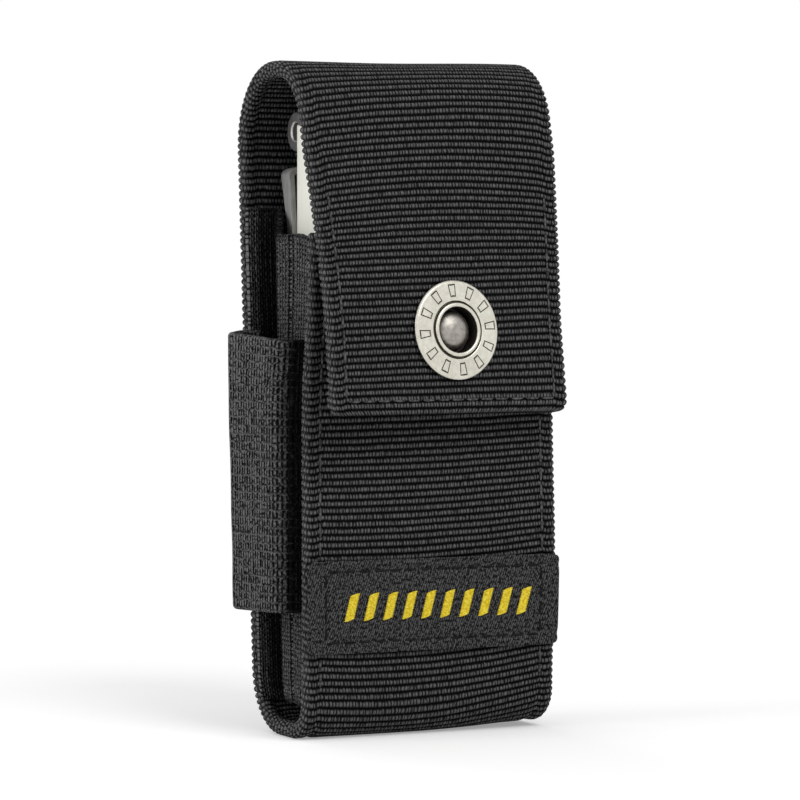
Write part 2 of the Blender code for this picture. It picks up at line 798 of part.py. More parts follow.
def main():
    sheath = joint_empty("sheath", 0.0, 0.0)
    lift = joint_empty("tool_lift", 0.0, TOOL_LOW, sheath)
    back_fold = joint_empty("flap_back_fold", BACK_TOP_Y + HINGE_OUT, BACK_TOP_Z + GAP / 2, sheath)
    front_fold = joint_empty("flap_front_fold", FLAP_BEND_Y - HINGE_OUT, FLAP_BEND_Z - GAP / 2, back_fold)
    carry(sheath, make_sheath())
    carry(back_fold, [make_flap_top()])
    flap_metal = [make_snap_cap(), make_snap_rivet(), make_snap_socket(), make_snap_spring()]
    carry(front_fold, [make_flap_front(), *flap_metal])
    carry(lift, make_tool())


clear_scene()
PARTS = new_collection("sheathed_multi_tool")
CUTTERS = new_collection("cutters")
main()
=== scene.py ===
# %% [markdown]
# A belt sheath of ribbed black webbing, with a folded multi tool inside it.
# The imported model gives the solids, their bodies and their joints. This lesson gives them their looks.
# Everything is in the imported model's frame: metres, X across, -Y to the front, +Z up.

# %% Load the frame
import bisect
import json
import math

import bmesh
import bpy
from mathutils import Matrix, Vector, noise


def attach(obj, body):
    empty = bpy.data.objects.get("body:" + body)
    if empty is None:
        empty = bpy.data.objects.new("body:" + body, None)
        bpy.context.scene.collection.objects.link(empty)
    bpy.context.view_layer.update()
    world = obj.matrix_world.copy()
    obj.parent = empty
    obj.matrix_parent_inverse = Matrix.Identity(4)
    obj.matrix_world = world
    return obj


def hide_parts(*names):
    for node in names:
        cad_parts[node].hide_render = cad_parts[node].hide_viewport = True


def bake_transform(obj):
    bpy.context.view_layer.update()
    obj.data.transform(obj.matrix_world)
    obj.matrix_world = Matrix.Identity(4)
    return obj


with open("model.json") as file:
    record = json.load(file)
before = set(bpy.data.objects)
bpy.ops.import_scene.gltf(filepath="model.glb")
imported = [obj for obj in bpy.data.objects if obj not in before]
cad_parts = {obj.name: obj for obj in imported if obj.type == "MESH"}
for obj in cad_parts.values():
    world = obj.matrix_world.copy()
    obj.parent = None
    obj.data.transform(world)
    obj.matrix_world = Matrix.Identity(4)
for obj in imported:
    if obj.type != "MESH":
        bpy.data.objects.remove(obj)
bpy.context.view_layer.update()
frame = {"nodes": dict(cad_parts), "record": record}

MM = 0.001

# %% [markdown]
# The camera comes first, because every later choice is judged through it.
# It stands well back with a long lens, a quarter turn to the left of the front and just above the middle,
# so the webbing's edges stay almost parallel.

# %% Camera
VIEW_TURN = math.radians(-26.5)
VIEW_RISE = math.radians(1.78)
VIEW_DISTANCE = 653.4 * MM
VIEW_TARGET = Vector((-0.79, 0.0, 60.63)) * MM
VIEW_LENS = 159.9

camera_data = bpy.data.cameras.new("camera")
camera_data.lens = VIEW_LENS
camera_data.sensor_width = 36.0
camera_data.clip_start = 0.05
camera_data.clip_end = 50.0
camera = bpy.data.objects.new("camera", camera_data)
bpy.context.scene.collection.objects.link(camera)
towards = Vector(
    (
        math.sin(VIEW_TURN) * math.cos(VIEW_RISE),
        -math.cos(VIEW_TURN) * math.cos(VIEW_RISE),
        math.sin(VIEW_RISE),
    )
)
camera.location = VIEW_TARGET + towards * VIEW_DISTANCE
camera.rotation_euler = (-towards).to_track_quat("-Z", "Y").to_euler()
bpy.context.scene.camera = camera
bpy.context.scene.view_settings.view_transform = "Standard"
print("camera stands at", [round(c / MM) for c in camera.location], "mm")

# %% [markdown]
# Procedural finishes are small graphs of nodes. Three helpers keep them readable:
# one starts a material, one does arithmetic on sockets, and one places a node with its inputs filled in.


# %% Node helpers
def start_finish(name):
    """A new material with its node tree and its shader."""
    material = bpy.data.materials.new(name)
    material.use_nodes = True
    tree = material.node_tree
    return material, tree, tree.nodes["Principled BSDF"]


def feed(tree, socket, value):
    """Sets a socket to a number or a colour, or links another socket to it."""
    if isinstance(value, bpy.types.NodeSocket):
        tree.links.new(value, socket)
    else:
        socket.default_value = value


def place_node(tree, kind, **inputs):
    node = tree.nodes.new(kind)
    for name, value in inputs.items():
        feed(tree, node.inputs[name.replace("_", " ")], value)
    return node


def calc(tree, operation, *values):
    node = tree.nodes.new("ShaderNodeMath")
    node.operation = operation
    for socket, value in zip(node.inputs, values):
        feed(tree, socket, value)
    return node.outputs[0]


def blend_colours(tree, share, low, high):
    node = tree.nodes.new("ShaderNodeMix")
    node.data_type = "RGBA"
    feed(tree, node.inputs[0], share)
    feed(tree, node.inputs[6], (*low, 1.0) if isinstance(low, tuple) else low)
    feed(tree, node.inputs[7], (*high, 1.0) if isinstance(high, tuple) else high)
    return node.outputs[2]


def raise_bump(tree, shader, height, depth):
    """Reads a height from 0 to 1 as a relief of the given depth in metres."""
    bump = place_node(tree, "ShaderNodeBump", Height=height, Distance=depth)
    tree.links.new(bump.outputs["Normal"], shader.inputs["Normal"])


def shown_rays(tree):
    """1 for the rays that show a background: straight from the camera, off metal or through glass."""
    path = tree.nodes.new("ShaderNodeLightPath")
    shown = path.outputs["Is Camera Ray"]
    for ray in ("Is Glossy Ray", "Is Transmission Ray"):
        shown = calc(tree, "MAXIMUM", shown, path.outputs[ray])
    return shown


def mix_shaders(tree, share, first, second):
    node = tree.nodes.new("ShaderNodeMixShader")
    for socket, value in zip(node.inputs, (share, first, second)):
        feed(tree, socket, value)
    return node.outputs[0]


def hump(tree, value):
    """A rounded wave from 0 to 1 and back over each whole number."""
    return calc(tree, "ABSOLUTE", calc(tree, "SINE", calc(tree, "MULTIPLY", value, math.pi)))


def ease(tree, value, low, high):
    """0 below low, 1 above high, and smooth between."""
    node = tree.nodes.new("ShaderNodeMapRange")
    node.interpolation_type = "SMOOTHSTEP"
    feed(tree, node.inputs["Value"], value)
    node.inputs["From Min"].default_value = low
    node.inputs["From Max"].default_value = high
    return node.outputs["Result"]


# %% [markdown]
# Black cloth needs broad, soft light, or its ribs vanish. A white surround fills every side,
# one large lamp above the front draws the ribs, and a second one, square to the left side,
# opens up the elastic. A weaker one behind keeps the back panel from going flat.
# The white that the camera and the polished metal see is kept apart from the light by the light path.

# %% Soft studio light
WHITE = (1.0, 1.0, 1.0, 1.0)
SURROUND_FILL = 0.42
LAMPS = {
    "lamp_above": ((0.15, -0.80, 0.85), 0.6, 4.8),
    "lamp_left": ((-1.0, 0.08, 0.33), 0.6, 4.2),
    "lamp_behind": ((-0.10, 0.90, 0.60), 0.6, 2.0),
}


def light_surround():
    world = bpy.data.worlds.new("white_surround")
    world.use_nodes = True
    tree = world.node_tree
    fill = tree.nodes["Background"]
    fill.inputs["Color"].default_value = WHITE
    fill.inputs["Strength"].default_value = SURROUND_FILL
    white = place_node(tree, "ShaderNodeBackground", Color=WHITE, Strength=1.0)
    look = mix_shaders(tree, shown_rays(tree), fill.outputs[0], white.outputs[0])
    tree.links.new(look, tree.nodes["World Output"].inputs["Surface"])
    bpy.context.scene.world = world


def hang_lamp(name, place, size, power):
    data = bpy.data.lights.new(name, "AREA")
    data.size = size
    data.energy = power
    lamp = bpy.data.objects.new(name, data)
    lamp.location = place
    lamp.rotation_euler = (VIEW_TARGET - lamp.location).to_track_quat("-Z", "Y").to_euler()
    bpy.context.scene.collection.objects.link(lamp)


light_surround()
for lamp_name, (lamp_place, lamp_size, lamp_power) in LAMPS.items():
    hang_lamp(lamp_name, lamp_place, lamp_size, lamp_power)
print("lamps", sorted(LAMPS))

# %% [markdown]
# The floor only has to be pale and to carry the sheath's shadow. It is a plain matt white, lifted a little
# for the camera alone, and further out it shows the same white as the surround, so no horizon line is seen.

# %% Floor
FLOOR_HALF = 6.0
FLOOR_COLOUR = (0.93, 0.93, 0.93, 1.0)
FLOOR_ROUGH = 0.9
FLOOR_LIFT = 0.3
SHADOW_REACH = (0.10, 0.30)


def lay_floor():
    material, tree, shader = start_finish("pale_floor")
    shader.inputs["Base Color"].default_value = FLOOR_COLOUR
    shader.inputs["Roughness"].default_value = FLOOR_ROUGH
    shader.inputs["Specular IOR Level"].default_value = 0.0
    reach = tree.nodes.new("ShaderNodeVectorMath")
    reach.operation = "LENGTH"
    tree.links.new(tree.nodes.new("ShaderNodeTexCoord").outputs["Object"], reach.inputs[0])
    far = ease(tree, reach.outputs["Value"], *SHADOW_REACH)
    shown = shown_rays(tree)
    lift_strength = calc(tree, "MULTIPLY", shown, FLOOR_LIFT)
    lift = place_node(tree, "ShaderNodeEmission", Color=WHITE, Strength=lift_strength)
    near = tree.nodes.new("ShaderNodeAddShader")
    tree.links.new(shader.outputs["BSDF"], near.inputs[0])
    tree.links.new(lift.outputs["Emission"], near.inputs[1])
    white = place_node(tree, "ShaderNodeEmission", Color=WHITE, Strength=1.0)
    look = mix_shaders(tree, calc(tree, "MULTIPLY", far, shown), near.outputs[0], white.outputs[0])
    tree.links.new(look, tree.nodes["Material Output"].inputs["Surface"])
    mesh = bpy.data.meshes.new("floor")
    bm = bmesh.new()
    bmesh.ops.create_grid(bm, x_segments=1, y_segments=1, size=FLOOR_HALF)
    bm.to_mesh(mesh)
    bm.free()
    mesh.materials.append(material)
    floor = bpy.data.objects.new("floor", mesh)
    bpy.context.scene.collection.objects.link(floor)


lay_floor()

# %% [markdown]
# The webbing is the heart of the look: heavy nylon, with a rib of weft across it every 1.25 mm.
# The ribs cast real shadows and notch the edges, so they are geometry. The warp ends that cross each rib
# are too fine to model, so they stay in the finish, on a map that counts threads and ribs.
# Each rib is a pale, broken line of thread ends between two dark furrows, a painted highlight
# and painted shade, and neighbouring ribs are staggered.

# %% Webbing finish
RIB_PITCH = 1.25
END_PITCH = 0.65
WEAVE_MAP = "weave"
CLOTH_GLOSS = 0.03
CLOTH_DARK = (0.002, 0.002, 0.0022)
WEBBING_LIGHT = (0.138, 0.138, 0.140)
WEBBING_RELIEF = 0.16
RIB_RAGGED = 0.44
SELVEDGE_HIGHLIGHT_BAND = (0.0238, 0.0252)


def weave_place(tree):
    """How far across and along the weave a point lies, in threads and in ribs."""
    node = tree.nodes.new("ShaderNodeUVMap")
    node.uv_map = WEAVE_MAP
    split = tree.nodes.new("ShaderNodeSeparateXYZ")
    tree.links.new(node.outputs["UV"], split.inputs["Vector"])
    return node.outputs["UV"], split.outputs["X"], split.outputs["Y"]


def thread_noise(tree, place, across, along, detail=2.0):
    """Uneven threads: noise drawn out along one direction of the weave."""
    scaled = tree.nodes.new("ShaderNodeVectorMath")
    scaled.operation = "MULTIPLY"
    tree.links.new(place, scaled.inputs[0])
    scaled.inputs[1].default_value = (across, along, 1.0)
    node = place_node(tree, "ShaderNodeTexNoise", Scale=1.0, Detail=detail, Roughness=0.6)
    tree.links.new(scaled.outputs["Vector"], node.inputs["Vector"])
    return node.outputs["Fac"]


def side_place(tree):
    """How far a point lies from the middle of the sheath, and how far towards its back, in metres."""
    place = tree.nodes.new("ShaderNodeTexCoord").outputs["Object"]
    split = tree.nodes.new("ShaderNodeSeparateXYZ")
    tree.links.new(place, split.inputs["Vector"])
    return calc(tree, "ABSOLUTE", split.outputs["X"]), split.outputs["Y"]


def cloth_finish(lit, height, relief, dark, light, rough):
    """Ends a cloth's graph: how lit each thread is gives its colour, and the height its relief."""
    tree = lit.id_data
    shader = tree.nodes["Principled BSDF"]
    tree.links.new(blend_colours(tree, lit, dark, light), shader.inputs["Base Color"])
    tree.links.new(rough, shader.inputs["Roughness"])
    shader.inputs["Specular IOR Level"].default_value = CLOTH_GLOSS
    raise_bump(tree, shader, height, relief * MM)


def make_webbing_finish():
    material, tree, _ = start_finish("ribbed_webbing")
    place, across, along = weave_place(tree)
    rib = calc(tree, "FLOOR", along)
    stagger = calc(tree, "MULTIPLY", calc(tree, "MODULO", rib, 2.0), 0.5)
    row = calc(tree, "MULTIPLY_ADD", along, 0.2, rib)
    level = place_node(tree, "ShaderNodeCombineXYZ", X=across, Y=row)
    drift = calc(tree, "MULTIPLY", thread_noise(tree, level.outputs["Vector"], 0.8, 0.9), 1.5)
    thread = hump(tree, calc(tree, "ADD", calc(tree, "ADD", across, stagger), drift))
    fibre = thread_noise(tree, place, 2.4, 1.2, 3.0)
    ragged = calc(tree, "MULTIPLY_ADD", fibre, RIB_RAGGED, calc(tree, "SUBTRACT", along, RIB_RAGGED / 2))
    crest = ease(tree, hump(tree, ragged), 0.30, 0.97)
    strand = calc(tree, "MULTIPLY_ADD", ease(tree, thread, 0.15, 0.95), 0.9, 0.1)
    uneven = calc(tree, "MULTIPLY_ADD", ease(tree, fibre, 0.3, 0.7), 1.0, 0.35)
    # Painted highlight: the selvedge band is lightened and its furrows lifted, where the edge catches the
    # light; worn carries this painted highlight on top of the random tone.
    edge = ease(tree, side_place(tree)[0], *SELVEDGE_HIGHLIGHT_BAND)
    crest = calc(tree, "MAXIMUM", crest, calc(tree, "MULTIPLY", edge, 0.28))
    worn = calc(tree, "MULTIPLY", uneven, calc(tree, "MULTIPLY_ADD", edge, 0.5, 1.0))
    lit = calc(tree, "MULTIPLY", calc(tree, "MULTIPLY", crest, strand), worn)
    fuzz = calc(tree, "MULTIPLY", fibre, 0.5)
    height = calc(tree, "MULTIPLY_ADD", crest, ease(tree, thread, 0.0, 0.8), fuzz)
    rough = calc(tree, "MULTIPLY_ADD", fibre, 0.25, 0.50)
    cloth_finish(lit, height, WEBBING_RELIEF, CLOTH_DARK, WEBBING_LIGHT, rough)
    return material


webbing_finish = make_webbing_finish()
print("made", webbing_finish.name)

# %% [markdown]
# One strip of webbing makes the front, the base, the back and the flap. Its side view is a line
# of straight runs and round bends, so a few corners with radii describe it. The helpers round the corners,
# and then walk along the line at an even pace, which keeps every rib the same width round the bends.

# %% Rounded lines
ARC_STEP = math.radians(3)


def smooth(share):
    """Eases a share from 0 to 1, and holds it there beyond."""
    share = min(max(share, 0.0), 1.0)
    return share * share * (3.0 - 2.0 * share)


def corner_drop(gap, radius):
    """How far a round corner falls below the edge, at a distance from the side."""
    if gap >= radius:
        return 0.0
    return radius - math.sqrt(radius**2 - (radius - gap) ** 2)


def corner_arc(before, corner, after, radius):
    came = (corner - before).normalized()
    leaves = (after - corner).normalized()
    turn = came.angle_signed(leaves)
    if radius == 0 or abs(turn) < 1e-4:
        return [corner]
    start = corner - came * radius * math.tan(abs(turn) / 2)
    side = Vector((came.y, -came.x)) * (1 if turn > 0 else -1)
    centre = start + side * radius
    count = max(2, math.ceil(abs(turn) / ARC_STEP))
    spoke = start - centre
    return [centre + Matrix.Rotation(-turn * k / count, 2) @ spoke for k in range(count + 1)]


def rounded_line(corners, closed=False):
    """Points through (a, b, radius) corners, with an arc in place of each corner."""
    spots = [Vector(c[:2]) for c in corners]
    count = len(spots)
    points = []
    for k, corner in enumerate(corners):
        if not closed and k in (0, count - 1):
            points.append(spots[k])
        else:
            points += corner_arc(spots[k - 1], spots[k], spots[(k + 1) % count], corner[2])
    return points


def distances(points):
    """How far along a line each of its points lies."""
    reach = [0.0]
    for a, b in zip(points, points[1:]):
        reach.append(reach[-1] + (b - a).length)
    return reach


def walk(points):
    """The length of a line, and a function that gives its point and its outward side at a distance."""
    reach = distances(points)
    runs = [(b - a).normalized() for a, b in zip(points, points[1:])]
    heads = [runs[0]] + [(a + b).normalized() for a, b in zip(runs, runs[1:])] + [runs[-1]]

    def at(distance):
        k = min(max(bisect.bisect_right(reach, distance) - 1, 0), len(points) - 2)
        share = (distance - reach[k]) / (reach[k + 1] - reach[k])
        head = heads[k].lerp(heads[k + 1], min(max(share, 0.0), 1.0)).normalized()
        return points[k].lerp(points[k + 1], share), Vector((head.y, -head.x))

    return reach[-1], at


# %% Side view of the webbing
WEB_HALF_WIDTH = 25.4
WEB_HALF_THICK = 1.1
MOUTH_Z = 91.0
BACK_TOP = Vector((17.6, 104.0))
ARCH_MIDDLE_Y = 4.0
ARCH_TOP_Z = 121.3
FLAP_BEND = Vector((-10.9, 105.5))
FLAP_END_Z = 58.5
FLAP_REACH = 6.9
FLAP_TWIST = 7.7
FLAP_CURL = 1.7
CURL_X = 7.0
CURL_Z = 78.0

FRONT_CORNERS = [(-9.3, MOUTH_Z, 0), (-10.3, 75.0, 60)]
BASE_CORNERS = [(-10.3, WEB_HALF_THICK, 6.0), (10.9, WEB_HALF_THICK, 10.5)]
BODY_LINE = rounded_line(
    FRONT_CORNERS
    + BASE_CORNERS
    + [(*BACK_TOP, 0), (18.7, ARCH_TOP_Z, 13.7), (ARCH_MIDDLE_Y, ARCH_TOP_Z, 0)]
)


def flap_bow(z):
    """How far the flap has swung out at a height, from 0 at its bend to 1 at its end."""
    share = (FLAP_BEND.y - z) / (FLAP_BEND.y - FLAP_END_Z)
    return math.sin(min(1.0, max(0.0, share)) * math.pi / 2)


def flap_shift(x, y, z):
    """How far the flap's twist and its curled right corner move it along Y."""
    curl = smooth((x - CURL_X) / (WEB_HALF_WIDTH - CURL_X)) * smooth((CURL_Z - z) / (CURL_Z - FLAP_END_Z))
    return FLAP_TWIST * x / (2 * WEB_HALF_WIDTH) * flap_bow(z) - FLAP_CURL * curl


def flap_y(x, z):
    """The flap's centre surface: it leans out towards its end, more on the left than on the right."""
    return FLAP_BEND.x - FLAP_REACH * flap_bow(z) + flap_shift(x, 0.0, z)


FLAP_STEPS = 40
FLAP_LINE = rounded_line([(ARCH_MIDDLE_Y, ARCH_TOP_Z, 0), (-7.0, ARCH_TOP_Z, 12.4), (*FLAP_BEND, 0)])
for flap_step in range(1, FLAP_STEPS + 1):
    flap_z = FLAP_BEND.y + (FLAP_END_Z - FLAP_BEND.y) * flap_step / FLAP_STEPS
    FLAP_LINE.append(Vector((flap_y(0.0, flap_z), flap_z)))


def side_y(line, z):
    """Reads a run of the side view at a height."""
    for a, b in zip(line, line[1:]):
        if min(a.y, b.y) <= z <= max(a.y, b.y) and a.y != b.y:
            return a.x + (b.x - a.x) * (z - a.y) / (b.y - a.y)
    return min(line, key=lambda p: abs(p.y - z)).x


FRONT_LINE = [p for p in BODY_LINE if p.x < 0]
BACK_LINE = [p for p in BODY_LINE if p.x > 0 and p.y <= BACK_TOP.y]
print("webbing is", round(walk(BODY_LINE)[0] + walk(FLAP_LINE)[0]), "mm long")

# %% [markdown]
# The snap pulls the front panel parallel to the flap around its stud. The snap's own frame is found
# on the flap's surface, with its Z axis pointing out of the flap, and the panel is eased towards it.

# %% Snap frame
SNAP_X = 1.1
SNAP_Z = 73.5
PANEL_FACE = -5.4
SETTLE_X = 12.0
SETTLE_Z = 13.0
MOUTH_LEAN = 3.6
LEAN_LOW_Z = 58.0
BOW_OUT = 1.1
BOW_Z = 33.0
BOW_REACH = 17.0


def find_snap():
    step = 0.5
    lean = (flap_y(SNAP_X + step, SNAP_Z) - flap_y(SNAP_X - step, SNAP_Z)) / (2 * step)
    rise = (flap_y(SNAP_X, SNAP_Z + step) - flap_y(SNAP_X, SNAP_Z - step)) / (2 * step)
    out = Vector((lean, -1.0, rise)).normalized()
    spot = Vector((SNAP_X, flap_y(SNAP_X, SNAP_Z), SNAP_Z)) * MM
    return Matrix.Translation(spot) @ out.to_track_quat("Z", "Y").to_matrix().to_4x4(), out


SNAP, SNAP_OUT = find_snap()
STUD = SNAP @ Vector((0.0, 0.0, (PANEL_FACE - WEB_HALF_THICK) * MM)) / MM


def mouth_lean(x, z):
    """How far the left corner of the mouth gapes to the front."""
    return -MOUTH_LEAN * smooth((z - LEAN_LOW_Z) / (MOUTH_Z - LEAN_LOW_Z)) * smooth(-x / WEB_HALF_WIDTH)


def panel_bow(x, z):
    """How far the panel bows out to the front at its right side, behind the label."""
    return BOW_OUT * smooth(x / WEB_HALF_WIDTH) * math.exp(-(((z - BOW_Z) / BOW_REACH) ** 2))


def panel_shift(x, y, z):
    """How far the front panel moves along Y to lie square to the stud, and to gape at its left corner."""
    if y > 0 or z > MOUTH_Z:
        return 0.0
    near = math.exp(-(((x - SNAP_X) / SETTLE_X) ** 2) - ((z - SNAP_Z) / SETTLE_Z) ** 2)
    plane = STUD.y - (SNAP_OUT.x * (x - STUD.x) + SNAP_OUT.z * (z - STUD.z)) / SNAP_OUT.y
    return (plane - y) * near + mouth_lean(x, z) - panel_bow(x, z)


print("snap points along", [round(c, 3) for c in SNAP_OUT])

# %% [markdown]
# Soft webbing never lies quite square. On the front the ribs climb to the right, more so near the base,
# and on the flap they arch, with the left edge hanging lowest. Two small formulas, eased out at the ends
# of each strip, move the ribs along it. A third lifts the right end of the base and of the arch.

# %% Lie of the ribs
FRONT_STEADY = 16.0
FRONT_BACK_Y = 9.0
FLAP_STEADY = 12.0
FLAP_TILT = 0.032
ARCH_CURL = -0.0026
BASE_LIFT = 0.85
ARCH_LIFT = 0.6


def front_rise(x, y, z):
    """How far a rib of the front and the base stands above its level, in mm."""
    steady = smooth((MOUTH_Z - z) / FRONT_STEADY) * smooth((FRONT_BACK_Y - y) / FRONT_STEADY)
    tilt = 0.052 - 0.00045 * z
    curl = 0.0033 - 0.00005 * z
    return steady * (tilt * x + curl * x * x)


def flap_rise(x, y, z):
    """The same on the flap, from the middle of the arch to the flap's end."""
    steady = smooth((ARCH_MIDDLE_Y - y) / FLAP_STEADY) * smooth((z - FLAP_END_Z) / FLAP_STEADY)
    curl = ARCH_CURL * smooth((z - 80.0) / 22.0)
    return steady * (FLAP_TILT * x + curl * x * x)


def lie_high(x, z):
    """The right end of the base and of the arch lie a little higher than the left end, in mm."""
    base = BASE_LIFT * smooth(x / WEB_HALF_WIDTH) * smooth((10.0 - z) / 8.0)
    arch = ARCH_LIFT * smooth((x + 8.0) / 30.0) * smooth((z - 100.0) / 15.0)
    return base + arch


print("ribs climb", round(front_rise(WEB_HALF_WIDTH, -10.3, 10.0), 2), "mm at the right of the base")

# %% [markdown]
# Every band here, of webbing, tape or elastic, is the same kind of thing:
# a closed cross-section drawn along a line. A grid does it. Its columns run round the section
# and its rows run along the line,
# the two edges that meet are merged, and the thread count of each corner goes into the weave map.


# %% A band from a grid
def grid_band(columns, rows, place, weave, capped=(False, False)):
    """A closed band. place gives each grid point's position in mm, and weave its thread count."""
    bm = bmesh.new()
    bmesh.ops.create_grid(bm, x_segments=columns, y_segments=rows, size=0.5)
    threads = bm.loops.layers.uv.new(WEAVE_MAP)
    bm.verts.index_update()
    cells = [(round((v.co.x + 0.5) * columns), round((v.co.y + 0.5) * rows)) for v in bm.verts]
    for face in bm.faces:
        for loop in face.loops:
            loop[threads].uv = weave(*cells[loop.vert.index])
    for v, cell in zip(bm.verts, cells):
        v.co = place(*cell) * MM
    bmesh.ops.remove_doubles(bm, verts=bm.verts, dist=0.001 * MM)
    if any(capped):
        rim = [e for e in bm.edges if e.is_boundary]
        bmesh.ops.edgeloop_fill(bm, edges=rim)
    bmesh.ops.recalc_face_normals(bm, faces=bm.faces)
    return bm


def show(name, bm, material, body=None, stands_for=()):
    """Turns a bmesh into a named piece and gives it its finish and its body."""
    mesh = bpy.data.meshes.new(name)
    bm.to_mesh(mesh)
    bm.free()
    mesh.shade_smooth()
    for finish in material if isinstance(material, (list, tuple)) else [material]:
        mesh.materials.append(finish)
    piece = bpy.data.objects.new(name, mesh)
    bpy.context.scene.collection.objects.link(piece)
    if body:
        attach(piece, body)
    if stands_for:
        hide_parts(*stands_for)
    print(name, len(mesh.polygons), "faces")
    return piece


# %% [markdown]
# A rib is a round cord of weft under the warp: a broad crest and a narrow furrow.
# The ribs wander a little and vary a little, which noise with a fixed seed gives.
# At the selvedge each rib turns round the edge as a small bead, so the furrows there are deeper.
# The seams that join the side walls to the front and the back pinch the webbing beside each edge.

# %% Webbing relief
RIB_STEPS = 6
RIB_DEPTH = 0.36
BEAD_DEPTH = 0.50
RIB_WANDER = 0.10
SEAM_INSET = 3.1
SEAM_WIDTH = 0.75
SEAM_DEPTH = 0.30
EDGE_WIDTH = 3.2
EDGE_PUFF = 0.75
EDGE_SLANT = 0.32
EDGE_EASE = 1.2
RIB_WEAR = 0.35
HEM_REACH = 3.0
CALM_REACH = 2.0
WALL_PRESS = 0.8


def rib_sink(along, pitch):
    """How deep the surface lies below the crest of its rib, from 0 to 1."""
    return 1.0 - abs(math.sin(math.pi * along / pitch)) ** 0.7


def seam_sink(x, half_width):
    from_edge = half_width - abs(x) - SEAM_INSET
    return SEAM_DEPTH * math.exp(-((from_edge / SEAM_WIDTH) ** 2))


def face_columns(half_flat):
    """Places across a face: close together beside the edges, and wide apart in the middle."""
    fine, coarse = 0.55, 2.3
    edge = 5.5
    outer = [half_flat - fine * k for k in range(round(edge / fine))]
    inside = outer[-1]
    count = round(2 * inside / coarse)
    middle = [-inside + 2 * inside * k / count for k in range(1, count)]
    return [-x for x in outer] + middle + outer[::-1]


def stadium(half_width, half_thick, turns=6):
    """The webbing's cross-section, as (across, out) points and the way out at each of them."""
    flat = half_width - half_thick
    columns = face_columns(flat)
    bend = [math.pi / 2 - math.pi * k / turns for k in range(1, turns)]
    right = [Vector((flat + half_thick * math.cos(a), half_thick * math.sin(a))) for a in bend]
    upper = [Vector((x, half_thick)) for x in columns]
    ring = upper + right
    ring += [-p for p in ring]
    ring.append(ring[0])
    ways = [(p - Vector((min(max(p.x, -flat), flat), 0.0))).normalized() for p in ring]
    return ring, ways


def edge_room(z):
    """How far the selvedge may swell inwards, from 0 to 1: not where a side wall lies against it."""
    beside_wall = smooth((z - 8.0) / 3.0) * smooth((100.0 - z) / 4.0)
    return 1.0 - WALL_PRESS * beside_wall


def webbing(
    line,
    half_width,
    half_thick,
    room=None,
    shift=None,
    lie=None,
    hems=(True, True),
    seam=None,
    corner=0.0,
    hem=0.0,
):
    """A strip of ribbed webbing along a side view. A hemmed end is rounded off, another is cut square.

    room says how far the selvedge may swell inwards at a height, shift moves a point along Y, lie lifts
    the ribs, seam is the stretch that the side seams pinch, and hem thickens the end of the flap.
    """
    length, at = walk(line)
    ribs = round(length / RIB_PITCH)
    pitch = length / ribs
    rows = ribs * RIB_STEPS
    ring, ways = stadium(half_width, half_thick)
    reach = distances(ring)

    def end_gap(along):
        return min(along if hems[0] else length, length - along if hems[1] else length)

    def place(i, j):
        p, way = ring[i], ways[i]
        along = length * j / rows
        gap = end_gap(along)
        swell = 1.0 + hem * (1.0 - min(1.0, max(0.0, (gap - HEM_REACH) / HEM_REACH)))
        close = math.sqrt(max(0.0, 1.0 - (1.0 - min(1.0, gap / half_thick)) ** 2))
        narrow = corner_drop(gap, corner)
        bead = abs(way.x)
        deep = RIB_DEPTH + (BEAD_DEPTH - RIB_DEPTH) * bead
        worn = 1.0 + RIB_WEAR * noise.noise(Vector((p.x / 3.0, along / 1.1, 2.0)))
        sink = deep * rib_sink(along, pitch) * worn
        if seam and seam[0] < along < seam[1]:
            sink += seam_sink(p.x, half_width) * abs(way.y)
        q = p - way * sink
        level, _ = at(along)
        edge = smooth((abs(p.x) - half_width + EDGE_WIDTH) / EDGE_EASE)
        if room and way.y < 0:
            q.y += way.y * edge * EDGE_PUFF * room(level.y)
        calm = min(1.0, along / CALM_REACH, (length - along) / CALM_REACH)
        wander = RIB_WANDER * noise.noise(Vector((p.x / 7.0, along / 5.0, 7.0)))
        wander += EDGE_SLANT * edge * p.y / half_thick
        wander *= calm
        if lie:
            wander -= lie(p.x, level.x, level.y)
        spot, out = at(min(max(along + wander, 0.0), length))
        x = q.x * (1.0 - narrow / half_width)
        rise = q.y * close * swell
        y, z = spot.x + out.x * rise, spot.y + out.y * rise
        if shift:
            y += shift(x, spot.x, spot.y)
            z += lie_high(x, spot.y)
        return Vector((x, y, z))

    def weave(i, j):
        return reach[i] / END_PITCH, j / RIB_STEPS

    bm = grid_band(len(ring) - 1, rows, place, weave, capped=[not h for h in hems])
    return bm, length


def punch(bm, spot, way, radius, depth):
    """Opens a hole through a band: takes out the faces near an axis and walls the gap."""
    gone = []
    for face in bm.faces:
        away = face.calc_center_median() - spot
        along = away.dot(way)
        if abs(along) < depth and (away - way * along).length < radius:
            gone.append(face)
    bmesh.ops.delete(bm, geom=gone, context="FACES")
    rims = [e for e in bm.edges if e.is_boundary]
    bmesh.ops.bridge_loops(bm, edges=rims)
    bmesh.ops.recalc_face_normals(bm, faces=bm.faces)
    print("punched", len(gone), "faces")


# %% [markdown]
# The sheath's own strip starts at the mouth, runs down the front, under the base and up the back,
# and goes on over the hinge line at the top of the back to the middle of the arch.
# There it is cut square in a furrow, where the flap's strip takes over, so no seam shows.
# Above the back panel the cloth bends between two bodies, and this piece is attached to neither.

# %% Body webbing
BODY_SEAM = (2.0, 190.0)
STUD_HOLE = 2.4
PUNCH_REACH = 3.0
body_strip, body_length = webbing(
    BODY_LINE,
    WEB_HALF_WIDTH,
    WEB_HALF_THICK,
    room=edge_room,
    shift=panel_shift,
    lie=front_rise,
    hems=(True, False),
    seam=BODY_SEAM,
)
punch(body_strip, STUD * MM, SNAP_OUT, STUD_HOLE * MM, PUNCH_REACH * MM)
body_webbing = show("body_webbing", body_strip, webbing_finish)
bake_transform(body_webbing)
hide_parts("main_strap", "flap_top_strap")

